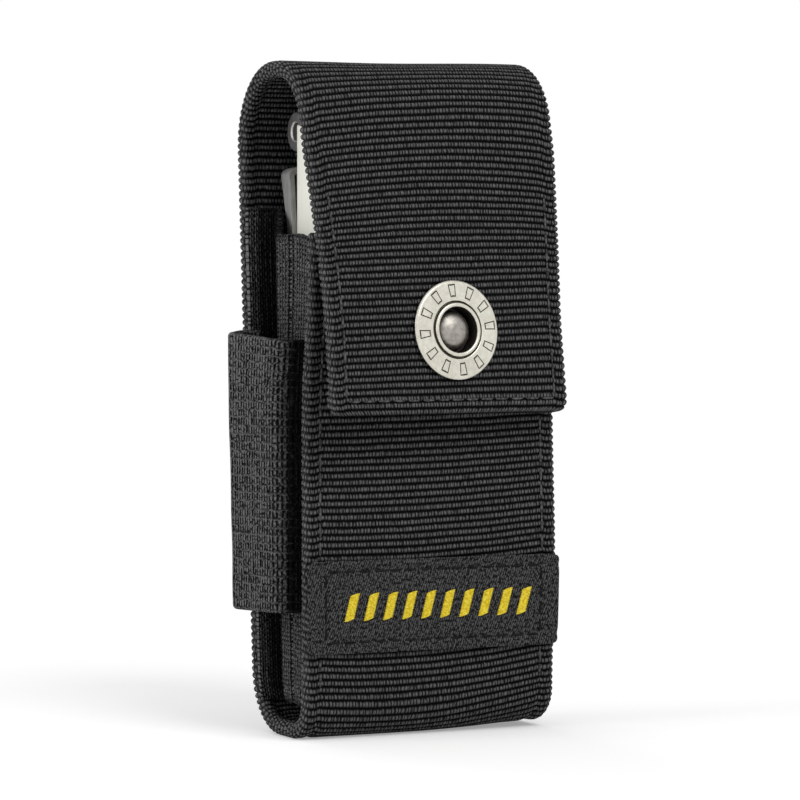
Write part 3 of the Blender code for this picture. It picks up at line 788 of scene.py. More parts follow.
# %% Flap webbing
FLAP_CORNER = 2.4
FLAP_HEM = 0.28
FLAP_SEAM = (24.0, 200.0)
CAP_HOLE = 4.9
flap_strip, flap_length = webbing(
    FLAP_LINE,
    WEB_HALF_WIDTH,
    WEB_HALF_THICK,
    room=lambda z: 1.0,
    shift=flap_shift,
    lie=flap_rise,
    hems=(False, True),
    seam=FLAP_SEAM,
    corner=FLAP_CORNER,
    hem=FLAP_HEM,
)
punch(flap_strip, SNAP.translation, SNAP_OUT, CAP_HOLE * MM, PUNCH_REACH * MM)
flap_webbing = show("flap_webbing", flap_strip, webbing_finish)
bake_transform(flap_webbing)
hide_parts("flap_front_strap")

# %% [markdown]
# The side walls are folded from a thinner tape whose cords run upright.
# Each wall is sewn inside the front and the back by a flange, stands near the edge
# for its front half, and then folds in towards the tool.
# The elastic on the left is the same kind of cloth with finer cords, so one function makes both:
# a section seen from above, with a ridge for each cord, drawn up between two heights.

# %% Corded cloth
CORD_STEPS = 4
END_ROWS = (0.0, 0.06, 0.2, 0.45)
LIFT_REACH = 16.0
ELASTIC_CREVICE_SHADE = (25.0, 36.0)
TAPE_LIGHT_SHADE_BACK = (0.0070, 0.0085)
TAPE_LIGHT_SHADE_SIDE = (0.0226, 0.0236)
TAPE_LIGHT = (0.15, 0.15, 0.152)
ELASTIC_LIGHT = (0.155, 0.155, 0.157)


def make_tape_finish():
    """Upright threads that show as short, staggered dashes, with painted shade in the fold and a painted
    highlight on the back flange's outer strip.
    """
    material, tree, _ = start_finish("side_tape")
    place, across, along = weave_place(tree)
    stagger = calc(tree, "MULTIPLY", calc(tree, "MODULO", calc(tree, "FLOOR", across), 2.0), 0.5)
    fibre = thread_noise(tree, place, 0.9, 1.1, 4.0)
    drift = calc(tree, "MULTIPLY_ADD", fibre, 2.2, stagger)
    dash = ease(tree, hump(tree, calc(tree, "ADD", along, drift)), 0.25, 0.85)
    cord = ease(tree, hump(tree, calc(tree, "MULTIPLY_ADD", fibre, 1.2, across)), 0.3, 0.9)
    body = calc(tree, "MULTIPLY", cord, dash)
    out, back = side_place(tree)
    # Painted light and shade: deep in the fold the tape is darkened as painted shade, and on the outer
    # strip of its back flange it is lightened as a painted highlight.
    flange = ease(tree, back, *TAPE_LIGHT_SHADE_BACK)
    fold_shade = calc(tree, "MULTIPLY", flange, ease(tree, out, *reversed(TAPE_LIGHT_SHADE_SIDE)))
    edge_highlight = calc(tree, "MULTIPLY", flange, ease(tree, out, *TAPE_LIGHT_SHADE_SIDE))
    edge_light = calc(tree, "MULTIPLY_ADD", edge_highlight, 0.7, 1.0)
    light_and_shade = calc(tree, "SUBTRACT", edge_light, calc(tree, "MULTIPLY", fold_shade, 0.7))
    uneven = calc(tree, "MULTIPLY_ADD", ease(tree, fibre, 0.3, 0.7), 1.4, 0.2)
    lit = calc(tree, "MULTIPLY", body, calc(tree, "MULTIPLY", uneven, light_and_shade))
    height = calc(tree, "MULTIPLY_ADD", fibre, 0.5, body)
    rough = calc(tree, "MULTIPLY_ADD", fibre, 0.2, 0.55)
    cloth_finish(lit, height, 0.14, CLOTH_DARK, TAPE_LIGHT, rough)
    return material


def make_elastic_finish():
    """Rows of upright slits between fine cords. A paler band and a dark line close each row."""
    material, tree, _ = start_finish("ribbed_elastic")
    place, across, along = weave_place(tree)
    fibre = thread_noise(tree, place, 1.6, 2.6, 4.0)
    drift = thread_noise(tree, place, 0.9, 0.45)
    sway = calc(tree, "MULTIPLY_ADD", drift, 0.9, along)
    cord = ease(tree, hump(tree, calc(tree, "MULTIPLY_ADD", drift, 1.0, across)), 0.35, 1.0)
    row = ease(tree, hump(tree, sway), 0.08, 0.5)
    line = ease(tree, hump(tree, calc(tree, "ADD", sway, 0.40)), 0.90, 0.995)
    slit = calc(tree, "MULTIPLY", calc(tree, "SUBTRACT", 1.0, cord), row)
    body = calc(tree, "SUBTRACT", 1.0, calc(tree, "MAXIMUM", slit, calc(tree, "MULTIPLY", line, 0.5)))
    # Painted shade: towards its front end the elastic is darkened, where it turns into the crevice beside
    # the front panel.
    sewn = calc(tree, "SUBTRACT", 1.0, calc(tree, "MULTIPLY", ease(tree, across, *ELASTIC_CREVICE_SHADE), 0.9))
    uneven = calc(tree, "MULTIPLY_ADD", ease(tree, fibre, 0.32, 0.68), 1.95, -0.05)
    lit = calc(tree, "MULTIPLY", body, calc(tree, "MULTIPLY", uneven, sewn))
    height = calc(tree, "MULTIPLY_ADD", fibre, 0.5, body)
    rough = calc(tree, "MULTIPLY_ADD", fibre, 0.2, 0.55)
    cloth_finish(lit, height, 0.2, CLOTH_DARK, ELASTIC_LIGHT, rough)
    return material


def tape(section, low_z, high_z, half_thick, pitch, depth, threads, row_pitch, y_at, lift):
    """A band with upright cords, each of some threads.

    section holds (x, depth) points, y_at turns a depth into Y at a height, and lift says how far
    the top edge stands above its level at a depth.
    """
    length, at = walk(section)
    cords = round(length / pitch)
    count = cords * CORD_STEPS
    outer = [length * k / count for k in range(count + 1)]
    ring = [(s, 1.0) for s in outer] + [(s, -1.0) for s in outer[::-1]]
    ring.append(ring[0])
    steps = round((high_z - low_z) / row_pitch) * 2
    middle = [low_z + (high_z - low_z) * k / steps for k in range(1, steps)]
    heights = [low_z + e for e in END_ROWS] + middle + [high_z - e for e in reversed(END_ROWS)]

    def place(i, j):
        s, side = ring[i]
        z = heights[j]
        gap = min(z - low_z, high_z - z)
        close = math.sqrt(max(0.0, 1.0 - (1.0 - min(1.0, gap / half_thick)) ** 2))
        plain = min(1.0, gap / 1.6)
        sink = depth * plain * (1.0 - abs(math.sin(math.pi * s / length * cords)) ** 0.8)
        spot, out = at(s)
        p = spot + out * side * (half_thick - sink) * close
        wave = 0.12 * noise.noise(Vector((s / 6.0, z / 9.0, 3.0)))
        z += lift(spot.y) * smooth(1.0 - (high_z - z) / LIFT_REACH)
        return Vector((p.x + out.x * wave, y_at(p.y, min(z, high_z)) + out.y * wave, z))

    def weave(i, j):
        return ring[i][0] / length * cords * threads, heights[j] / row_pitch

    return grid_band(len(ring) - 1, len(heights) - 1, place, weave), length


tape_finish = make_tape_finish()
elastic_finish = make_elastic_finish()
print("made", tape_finish.name, elastic_finish.name)

# %% Side walls
GUSSET_LOW_Z = 6.0
GUSSET_HALF_THICK = 0.6
GUSSET_INSET = WEB_HALF_THICK + GUSSET_HALF_THICK + 0.3
GUSSET_DEPTH = 20.0
GUSSET_SECTION = [
    (25.0, GUSSET_DEPTH, 0),
    (18.2, GUSSET_DEPTH, 0.9),
    (22.4, 13.2, 1.2),
    (22.6, 9.0, 0.6),
    (20.8, 7.4, 0.5),
    (23.2, 5.8, 0.6),
    (23.7, 0.0, 0.8),
    (24.3, 0.0, 0),
]
GUSSET_TAIL = 5.0
GUSSET_LIP = 0.8
GUSSET_DIP = 0.7
SIDES = ((-1, "left"), (1, "right"))


def between_panels(inset, depth, x):
    """Turns a depth between the front and the back panel, at a side, into Y at a height."""

    def y_at(d, z):
        low = side_y(FRONT_LINE, z) + mouth_lean(x, z) + inset
        high = side_y(BACK_LINE, z) - inset
        return low + (high - low) * d / depth

    return y_at


def gusset_lift(d):
    """The tape's back edge stands above the mouth."""
    lip = GUSSET_LIP * math.exp(-(((d - 13.2) / 1.2) ** 2))
    front = GUSSET_DIP * smooth((5.0 - d) / 5.0)
    return GUSSET_TAIL * smooth((d - 13.8) / 6.0) - lip - front


for gusset_side, gusset_word in SIDES:
    gusset_line = rounded_line([(gusset_side * x, d, r) for x, d, r in GUSSET_SECTION])
    if gusset_side > 0:
        gusset_line.reverse()
    gusset_band, gusset_width = tape(
        gusset_line,
        GUSSET_LOW_Z,
        MOUTH_Z,
        GUSSET_HALF_THICK,
        pitch=1.0,
        depth=0.14,
        threads=2,
        row_pitch=0.8,
        y_at=between_panels(GUSSET_INSET, GUSSET_DEPTH, gusset_side * WEB_HALF_WIDTH),
        lift=gusset_lift,
    )
    gusset_name = f"{gusset_word}_gusset_tape"
    gusset = show(gusset_name, gusset_band, tape_finish, "sheath", [f"{gusset_word}_gusset"])

# %% Elastic side loop
ELASTIC_LOW_Z = 22.9
ELASTIC_HIGH_Z = 73.1
ELASTIC_HALF_THICK = 0.75
ELASTIC_INSET = WEB_HALF_THICK + 2 * GUSSET_HALF_THICK + ELASTIC_HALF_THICK + 0.6
ELASTIC_DEPTH = 16.0
ELASTIC_REACH_X = 31.4
ELASTIC_SECTION = [
    (23.9, ELASTIC_DEPTH, 0),
    (27.5, ELASTIC_DEPTH, 2.5),
    (ELASTIC_REACH_X, 12.6, 1.6),
    (ELASTIC_REACH_X - 2.6, 2.5, 14),
    (27.4, -1.6, 2),
    (25.9, 0.0, 1),
    (23.9, 0.0, 0),
]


def elastic_lift(d):
    """The loop's mouth is pulled down towards the front."""
    return -1.1 + 1.5 * d / ELASTIC_DEPTH


elastic_band, elastic_width = tape(
    rounded_line([(-x, d, r) for x, d, r in ELASTIC_SECTION]),
    ELASTIC_LOW_Z,
    ELASTIC_HIGH_Z,
    ELASTIC_HALF_THICK,
    pitch=0.68,
    depth=0.2,
    threads=1,
    row_pitch=1.5,
    y_at=between_panels(ELASTIC_INSET, ELASTIC_DEPTH, -WEB_HALF_WIDTH),
    lift=elastic_lift,
)
elastic_loop = show(
    "elastic_side_loop", elastic_band, elastic_finish, "sheath", ["elastic_loop"]
)

# %% [markdown]
# The belt loop is a narrower strip of the same webbing, sewn to the back by its two ends.
# Its side view is measured out from the back panel, so it leans with it.

# %% Belt loop
LOOP_HALF_WIDTH = 19.0
LOOP_HALF_THICK = 0.8
LOOP_LOW_Z = 22.0
LOOP_HIGH_Z = 88.0
LOOP_TAB = 8.0
LOOP_RAMP = 5.0
LOOP_NEAR = WEB_HALF_THICK + 0.3 + LOOP_HALF_THICK
LOOP_FAR = LOOP_NEAR + 6.3
loop_offsets = rounded_line(
    [
        (LOOP_NEAR, LOOP_LOW_Z, 0),
        (LOOP_NEAR, LOOP_LOW_Z + LOOP_TAB, 4),
        (LOOP_FAR, LOOP_LOW_Z + LOOP_TAB + LOOP_RAMP, 4),
        (LOOP_FAR, LOOP_HIGH_Z - LOOP_TAB - LOOP_RAMP, 4),
        (LOOP_NEAR, LOOP_HIGH_Z - LOOP_TAB, 4),
        (LOOP_NEAR, LOOP_HIGH_Z, 0),
    ]
)
loop_line = [Vector((side_y(BACK_LINE, p.y) + p.x, p.y)) for p in loop_offsets]
loop_strip, loop_length = webbing(loop_line, LOOP_HALF_WIDTH, LOOP_HALF_THICK)
belt_loop = show("belt_loop_webbing", loop_strip, webbing_finish, "sheath", ["belt_loop"])

# %% [markdown]
# The label is a strip of satin, sewn on near all four edges. The seams pull it down and the cloth
# between them stands proud, so it is a grid with a little relief, thickened.
# Satin shows a fine slanting twill and a soft sheen.

# %% Label
LABEL_LOW_Z = 15.7
LABEL_HIGH_Z = 32.4
LABEL_HALF_WIDTH = 25.3
LABEL_CORNER = 1.3
LABEL_FACE_Y = -12.15
LABEL_THICK = 0.4
LABEL_SEAM_X = 21.6
LABEL_SEAM_Z = 2.0
LABEL_COLUMNS = 170
LABEL_ROWS = 56
TWILL_PITCH = 0.46
LABEL_GLOSS = 0.06
LABEL_DARK = (0.003, 0.003, 0.0033)
LABEL_LIGHT = (0.105, 0.105, 0.107)
LABEL_PUFF = 0.30
LABEL_RIPPLE = 0.06
PINCH_X = 0.8
PINCH_Z = 0.7
WRAP_WIDTH = 0.4
WRAP_BEND = 1.1


def make_label_finish():
    material, tree, shader = start_finish("label_satin_twill")
    place, across, along = weave_place(tree)
    slant = calc(tree, "MULTIPLY_ADD", along, -0.38, across)
    fibre = thread_noise(tree, place, 2.4, 1.8, 4.0)
    twill = hump(tree, calc(tree, "MULTIPLY_ADD", fibre, 2.0, calc(tree, "DIVIDE", slant, TWILL_PITCH)))
    uneven = calc(tree, "MULTIPLY_ADD", ease(tree, fibre, 0.36, 0.66), 1.75, -0.16)
    lit = calc(tree, "MULTIPLY", ease(tree, twill, 0.1, 0.95), uneven)
    height = calc(tree, "MULTIPLY_ADD", fibre, 0.6, twill)
    rough = calc(tree, "MULTIPLY_ADD", fibre, 0.25, 0.38)
    cloth_finish(lit, height, 0.06, LABEL_DARK, LABEL_LIGHT, rough)
    shader.inputs["Specular IOR Level"].default_value = LABEL_GLOSS
    return material


def label_relief(x, z):
    """How far the label stands off its sewn level."""
    side = (abs(x) - LABEL_SEAM_X) / PINCH_X
    low = (z - LABEL_LOW_Z - LABEL_SEAM_Z) / PINCH_Z
    high = (LABEL_HIGH_Z - LABEL_SEAM_Z - z) / PINCH_Z
    pinch = max(math.exp(-side * side), math.exp(-low * low), math.exp(-high * high))
    ripple = LABEL_RIPPLE * noise.noise(Vector((x / 2.6, z / 4.0, 11.0)))
    wrap = max(0.0, abs(x) - WEB_HALF_WIDTH + WRAP_WIDTH)
    return LABEL_PUFF * (1.0 - pinch) + ripple - WRAP_BEND * wrap * wrap + panel_bow(x, z)


def make_label():
    bm = bmesh.new()
    bmesh.ops.create_grid(bm, x_segments=LABEL_COLUMNS, y_segments=LABEL_ROWS, size=0.5)
    threads = bm.loops.layers.uv.new(WEAVE_MAP)
    for v in bm.verts:
        z = LABEL_LOW_Z + (LABEL_HIGH_Z - LABEL_LOW_Z) * (v.co.y + 0.5)
        half = LABEL_HALF_WIDTH - corner_drop(min(z - LABEL_LOW_Z, LABEL_HIGH_Z - z), LABEL_CORNER)
        x = 2 * half * v.co.x
        v.co = Vector((x, LABEL_FACE_Y - label_relief(x, z), z)) * MM
    for face in bm.faces:
        for loop in face.loops:
            loop[threads].uv = (loop.vert.co.x / MM, loop.vert.co.z / MM)
    bmesh.ops.recalc_face_normals(bm, faces=bm.faces)
    if bm.faces[0].normal.y > 0:
        bmesh.ops.reverse_faces(bm, faces=bm.faces)
    bmesh.ops.solidify(bm, geom=bm.faces[:], thickness=LABEL_THICK * MM)
    return bm


label_finish = make_label_finish()
label = show("front_label_satin", make_label(), label_finish, "sheath", ["front_label"])

# %% [markdown]
# Stitches are short bits of thick thread that dip into the cloth at both ends. One bead, stretched
# along its run, is enough for each, because there are hundreds. A seam is a list of points on the cloth,
# walked stitch by stitch. The label's stitches sink in, and their thread is painted darker, as painted
# shade.

# %% Thread
THREAD_RADIUS = 0.26
STITCH_LENGTH = 3.2
STITCH_SHARE = 0.82


def make_thread_finish(name, dark, light, scale):
    material, tree, shader = start_finish(name)
    place = tree.nodes.new("ShaderNodeTexCoord").outputs["Object"]
    twist = place_node(tree, "ShaderNodeTexNoise", Scale=scale, Detail=2.0, Roughness=0.6)
    tree.links.new(place, twist.inputs["Vector"])
    share = ease(tree, twist.outputs["Fac"], 0.3, 0.7)
    tree.links.new(blend_colours(tree, share, dark, light), shader.inputs["Base Color"])
    tree.links.new(calc(tree, "MULTIPLY_ADD", share, -0.2, 0.65), shader.inputs["Roughness"])
    shader.inputs["Specular IOR Level"].default_value = 0.1
    raise_bump(tree, shader, twist.outputs["Fac"], 0.1 * MM)
    return material


def lay_thread(bm, start, end, radius):
    """One bit of thread between two points."""
    run = end - start
    turn = run.to_track_quat("Z", "Y").to_matrix().to_4x4()
    size = Matrix.Diagonal((radius, radius, run.length / 2, 1.0))
    spot = Matrix.Translation((start + end) / 2)
    bmesh.ops.create_uvsphere(bm, u_segments=6, v_segments=5, radius=1.0, matrix=spot @ turn @ size)


def sew(bm, points):
    """Stitches along a line of points in mm."""
    length, at = walk(points)
    count = max(1, round(length / STITCH_LENGTH))
    step = length / count
    margin = step * (1.0 - STITCH_SHARE) / 2
    for k in range(count):
        start, _ = at(step * k + margin)
        end, _ = at(step * (k + 1) - margin)
        lay_thread(bm, start * MM, end * MM, THREAD_RADIUS * MM)


def panel_face(x, z):
    """A point in the seam on the front panel's outer face."""
    y = side_y(FRONT_LINE, z)
    return Vector((x, y + panel_shift(x, y, z) - WEB_HALF_THICK + SEAM_DEPTH - 0.05, z))


def back_face(x, z, out=WEB_HALF_THICK - SEAM_DEPTH + 0.05):
    return Vector((x, side_y(BACK_LINE, z) + out, z))


def flap_face(x, z):
    return Vector((x, flap_y(x, z) - WEB_HALF_THICK + SEAM_DEPTH - 0.1, z))


def spaced(low, high, step=2.0):
    count = max(1, round(abs(high - low) / step))
    return [low + (high - low) * k / count for k in range(count + 1)]


thread_finish = make_thread_finish("black_thread", (0.02, 0.02, 0.021), (0.13, 0.13, 0.133), 1500.0)
# The label's seam thread is painted darker, as painted shade where it sinks in.
label_seam_shade_finish = make_thread_finish("sunk_thread", (0.001, 0.001, 0.001), (0.012, 0.012, 0.012), 1500.0)
SEAM_X = WEB_HALF_WIDTH - SEAM_INSET

# %% Seams of the sheath
sheath_seams = bmesh.new()
for seam_x in (-SEAM_X, SEAM_X):
    sew(sheath_seams, [panel_face(seam_x, z) for z in spaced(MOUTH_Z - 2.0, LABEL_HIGH_Z + 0.6)])
    sew(sheath_seams, [panel_face(seam_x, z) for z in spaced(LABEL_LOW_Z - 0.6, 9.5)])
    sew(sheath_seams, [back_face(seam_x, z) for z in spaced(9.5, MOUTH_Z - 2.0)])
show("sheath_seams", sheath_seams, thread_finish, "sheath")

# %% Seams of the label
label_seams = bmesh.new()
seam_bottom = LABEL_LOW_Z + LABEL_SEAM_Z
seam_top = LABEL_HIGH_Z - LABEL_SEAM_Z


def label_face(x, z):
    return Vector((x, LABEL_FACE_Y - label_relief(x, z) + 0.02, z))


for seam_z in (seam_bottom, seam_top):
    sew(label_seams, [label_face(x, seam_z) for x in spaced(-LABEL_SEAM_X, LABEL_SEAM_X)])
for seam_x in (-LABEL_SEAM_X, LABEL_SEAM_X):
    sew(label_seams, [label_face(seam_x, z) for z in spaced(seam_bottom, seam_top)])
show("label_seams", label_seams, label_seam_shade_finish, "sheath")

# %% Seams of the flap
FLAP_SEAM_TOP = 98.0
FLAP_SEAM_LOW = 61.2
HEM_PROUD = Vector((0.0, -0.3, 0.0))
flap_seams = bmesh.new()
for seam_x in (-SEAM_X, SEAM_X):
    sew(flap_seams, [flap_face(seam_x, z) for z in spaced(FLAP_SEAM_TOP, FLAP_SEAM_LOW)])
sew(flap_seams, [flap_face(x, FLAP_SEAM_LOW) + HEM_PROUD for x in spaced(-SEAM_X, SEAM_X)])
show("flap_seams", flap_seams, thread_finish, "flap_front")

# %% Seams of the belt loop
LOOP_SEAM_X = 16.5
loop_seams = bmesh.new()
LOOP_SEAM_OUT = LOOP_NEAR + LOOP_HALF_THICK + 0.05
for tab_low in (LOOP_LOW_Z + 1.2, LOOP_HIGH_Z - LOOP_TAB + 0.6):
    tab_high = tab_low + LOOP_TAB - 2.2
    turns = ((-1, tab_low), (1, tab_low), (1, tab_high), (-1, tab_high))
    corners = [(side * LOOP_SEAM_X, z) for side, z in turns]
    crosses = [(corners[0], corners[2]), (corners[1], corners[3])]
    runs = list(zip(corners, corners[1:] + corners[:1])) + crosses
    for (x0, z0), (x1, z1) in runs:
        sew(loop_seams, [back_face(x0, z0, LOOP_SEAM_OUT), back_face(x1, z1, LOOP_SEAM_OUT)])
show("belt_loop_seams", loop_seams, thread_finish, "sheath")

# %% [markdown]
# The label carries a plain row of slanted bars in yellow satin stitch.
# Each bar is a stack of threads laid side by side, the way an embroidery machine fills a shape.

# %% Label bars
BAR_COUNT = 10
BAR_SPAN = (-16.6, 18.0)
BAR_HEIGHT = 4.6
BAR_WIDTH = 2.1
BAR_SLANT = 0.26
BAR_MIDDLE_Z = 24.0
BAR_THREADS = 15
BAR_LIFT = Vector((0.0, -0.1, 0.0))
BAR_THREAD_RADIUS = 0.23
BAR_THREAD_SLANT = 0.32
yellow_finish = make_thread_finish("yellow_thread", (0.70, 0.48, 0.010), (1.0, 0.84, 0.08), 2200.0)
bars = bmesh.new()
for bar in range(BAR_COUNT):
    bar_x = BAR_SPAN[0] + (BAR_SPAN[1] - BAR_SPAN[0]) * bar / (BAR_COUNT - 1)
    for k in range(BAR_THREADS):
        rise = BAR_HEIGHT * ((k + 0.5) / BAR_THREADS - 0.5)
        middle_x = bar_x + rise * BAR_SLANT
        z = BAR_MIDDLE_Z + rise
        spots = [(middle_x + e * BAR_WIDTH / 2, z + e * BAR_THREAD_SLANT) for e in (-1, 1)]
        start, end = [(label_face(*spot) + BAR_LIFT) * MM for spot in spots]
        lay_thread(bars, start, end, BAR_THREAD_RADIUS * MM)
show("label_bars", bars, yellow_finish, "sheath")

# %% [markdown]
# The snap is turned metal: a broad ring pressed from sheet, a cup whose rim is rolled over,
# a domed rivet in the cup, and the socket, spring, stud and post behind them.
# Each is a profile spun round the snap's axis.
# The sheet is nickel plated, with a soft grain, and every recess is painted darker as painted shade.

# %% Metal finishes
STAMP_DEPTH = 0.12


def make_metal_finish(name, dark, light, rough, grain, stretch, metallic=1.0, wear=0.12):
    """Metal with a grain: noise drawn out along one direction shifts its colour and its roughness."""
    material, tree, shader = start_finish(name)
    place = tree.nodes.new("ShaderNodeTexCoord").outputs["Object"]
    mapping = tree.nodes.new("ShaderNodeMapping")
    mapping.inputs["Scale"].default_value = stretch
    tree.links.new(place, mapping.inputs["Vector"])
    lines = place_node(tree, "ShaderNodeTexNoise", Scale=grain, Detail=4.0, Roughness=0.65)
    tree.links.new(mapping.outputs["Vector"], lines.inputs["Vector"])
    cloud = place_node(tree, "ShaderNodeTexNoise", Scale=160.0, Detail=3.0, Roughness=0.6)
    tree.links.new(place, cloud.inputs["Vector"])
    clouds = calc(tree, "MULTIPLY", cloud.outputs["Fac"], 0.4)
    share = calc(tree, "MULTIPLY_ADD", lines.outputs["Fac"], 0.6, clouds)
    colour = blend_colours(tree, ease(tree, share, 0.25, 0.75), dark, light)
    tree.links.new(colour, shader.inputs["Base Color"])
    shader.inputs["Metallic"].default_value = metallic
    spread = calc(tree, "MULTIPLY_ADD", share, wear, rough - wear / 2)
    tree.links.new(spread, shader.inputs["Roughness"])
    raise_bump(tree, shader, lines.outputs["Fac"], 0.012 * MM)
    return material


EVEN = (1.0, 1.0, 1.0)
nickel_finish = make_metal_finish(
    "satin_nickel_plate", (0.55, 0.53, 0.45), (0.765, 0.748, 0.665), 0.34, 1400.0, EVEN
)
# Painted shade for the groove round the cup and for the ticks' pressed outlines.
stamp_shade_finish = make_metal_finish(
    "stamped_recess_shade", (0.05, 0.046, 0.038), (0.22, 0.20, 0.17), 0.5, 1400.0, EVEN
)
# Painted shade: a dark finish for the cup, the ear's dish and the clip's inner face, where shade falls.
painted_shade_finish = make_metal_finish(
    "painted_recess_shade", (0.03, 0.028, 0.024), (0.10, 0.093, 0.080), 0.5, 1400.0, EVEN
)
dome_finish = make_metal_finish(
    "tarnished_dome", (0.22, 0.206, 0.184), (0.46, 0.436, 0.40), 0.40, 1400.0, EVEN
)
bright_finish = make_metal_finish(
    "bright_steel_sheet", (0.93, 0.93, 0.83), (1.0, 1.0, 0.91), 0.42, 900.0, (6.0, 6.0, 0.12), 0.2, 0.2
)
tool_finish = make_metal_finish(
    "ground_tool_steel", (0.42, 0.42, 0.41), (0.62, 0.62, 0.61), 0.36, 900.0, (1.0, 1.0, 8.0)
)
spring_finish = make_metal_finish(
    "grey_spring_steel", (0.32, 0.32, 0.31), (0.58, 0.58, 0.57), 0.44, 700.0, (5.0, 5.0, 0.4), 0.6
)
dull_finish = make_metal_finish(
    "dull_grey_steel", (0.10, 0.10, 0.098), (0.20, 0.20, 0.197), 0.45, 700.0, EVEN, 0.7
)

# %% Spinning a profile
SPIN_STEPS = 96


def turned(profile, steps=SPIN_STEPS, ring=True):
    """A profile of (radius, height) points in mm, spun about Z."""
    bm = bmesh.new()
    verts = [bm.verts.new((p.x * MM, 0.0, p.y * MM)) for p in profile]
    edges = [bm.edges.new(pair) for pair in zip(verts, verts[1:])]
    if ring:
        edges.append(bm.edges.new((verts[-1], verts[0])))
    axis = Vector((0.0, 0.0, 1.0))
    bmesh.ops.spin(
        bm, geom=verts + edges, cent=Vector(), axis=axis, angle=math.tau, steps=steps, use_merge=True
    )
    bmesh.ops.remove_doubles(bm, verts=bm.verts, dist=0.0005 * MM)
    bmesh.ops.recalc_face_normals(bm, faces=bm.faces)
    return bm


def put(bm, matrix):
    bmesh.ops.transform(bm, matrix=matrix, verts=bm.verts)
    return bm


def show_turned(name, bm, place, finish, body, nodes, sharp=40):
    """Shows a turned piece where its axis goes, with its corners left crisp."""
    piece = show(name, put(bm, place), finish, body, nodes)
    piece.data.set_sharp_from_angle(angle=math.radians(sharp))


# %% Snap cap
CAP_RADIUS = 9.0
CUP_RADIUS = 4.15
RIM_RADIUS = 4.8
GROOVE_RADIUS = 5.3
STAMP_LOW_R = 5.95
STAMP_HIGH_R = 8.3
STAMP_COUNT = 12
STAMP_FACES = 3
STAMP_LINE = 0.17
STAMP_WALL = 0.13
CAP_PROFILE = [
    (CUP_RADIUS, -0.6, 0.25),
    (CUP_RADIUS, 2.5, 0.3),
    (RIM_RADIUS, 2.5, 0.3),
    (5.0, 1.7, 0.08),
    (GROOVE_RADIUS, 2.14, 0.2),
    (STAMP_LOW_R, 2.16, 0),
    (STAMP_HIGH_R, 2.08, 0),
    (8.7, 2.04, 0.3),
    (CAP_RADIUS, 1.75, 0.3),
    (CAP_RADIUS, 1.4, 0.1),
    (4.6, 1.4, 0.1),
    (4.6, -1.1, 0.2),
    (2.1, -1.1, 0.05),
    (2.1, -0.6, 0.05),
]


def paint_recess_shade(bm):
    """Painted shade: the inside of the cup and the groove round its rim get dark finishes."""
    for face in bm.faces:
        middle = face.calc_center_median() / MM
        r = math.hypot(middle.x, middle.y)
        if r < CUP_RADIUS + 0.05 and -0.8 < middle.z < 2.3:
            face.material_index = 2
        elif RIM_RADIUS < r < GROOVE_RADIUS and 1.5 < middle.z < 2.1:
            face.material_index = 1


def stamp_ticks(bm):
    """Presses an outlined tick into the ring at even turns."""
    band = []
    for face in bm.faces:
        middle = face.calc_center_median() / MM
        r = math.hypot(middle.x, middle.y)
        if STAMP_LOW_R < r < STAMP_HIGH_R and middle.z > 2.0:
            turn = math.atan2(middle.y, middle.x) % math.tau
            band.append((turn, face))
    pitch = SPIN_STEPS // STAMP_COUNT
    for k in range(STAMP_COUNT):
        low = k * pitch * math.tau / SPIN_STEPS
        high = low + STAMP_FACES * math.tau / SPIN_STEPS
        tick = [face for turn, face in band if low < turn < high]
        wall = []
        for width, depth in ((STAMP_LINE, -STAMP_DEPTH), (STAMP_WALL, STAMP_DEPTH)):
            wall += bmesh.ops.inset_region(bm, faces=tick, thickness=width * MM, depth=depth * MM)["faces"]
        # The tick's pressed outline takes the darker finish, as painted shade in the pressed line.
        for face in wall:
            face.material_index = 1


cap_shape = turned(rounded_line(CAP_PROFILE, closed=True))
stamp_ticks(cap_shape)
paint_recess_shade(cap_shape)
cap_finishes = [nickel_finish, stamp_shade_finish, painted_shade_finish]
show_turned("snap_cap_ring", cap_shape, SNAP, cap_finishes, "flap_front", ["snap_cap"], 38)

# %% Snap rivet, socket and spring
DOME_RADIUS = 3.75
DOME_RISE = 2.4
DOME_FOOT = -0.3
DIMPLE_RADIUS = 0.55
DIMPLE_DEPTH = 0.16
DOME_STEPS = 18


def dome_point(k):
    a = math.pi / 2 * k / DOME_STEPS
    r = DOME_RADIUS * math.sin(a)
    dimple = DIMPLE_DEPTH * math.exp(-((r / DIMPLE_RADIUS) ** 2))
    return Vector((r, DOME_FOOT + DOME_RISE * math.cos(a) - dimple))


RIVET_TAIL = [(1.8, DOME_FOOT), (1.8, -2.3), (2.6, -2.3), (2.6, -2.7), (0.0, -2.7)]
rivet_profile = [dome_point(k) for k in range(DOME_STEPS + 1)] + [Vector(p) for p in RIVET_TAIL]
rivet = turned(rivet_profile, ring=False)
show_turned("snap_rivet_dome", rivet, SNAP, dome_finish, "flap_front", ["snap_rivet"])
SOCKET_PROFILE = [
    (2.1, -1.4, 0.05),
    (6.4, -1.4, 0.15),
    (6.4, -2.0, 0.2),
    (5.4, -2.4, 0.3),
    (5.4, -3.9, 0.2),
    (5.0, -4.3, 0.2),
    (4.1, -4.3, 0.15),
    (3.8, -4.0, 0.1),
    (3.8, -2.0, 0.2),
    (2.1, -2.0, 0.05),
]
socket = turned(rounded_line(SOCKET_PROFILE, closed=True))
show_turned("snap_socket_cup", socket, SNAP, nickel_finish, "flap_front", ["snap_socket"])
SPRING_WIRE = 0.28
SPRING_MIDDLE = Vector((3.45, -3.4))
wire_turns = [math.tau * k / 12 for k in range(12)]
wire_profile = [SPRING_MIDDLE + SPRING_WIRE * Vector((-math.cos(a), math.sin(a))) for a in wire_turns]
spring = turned(wire_profile)
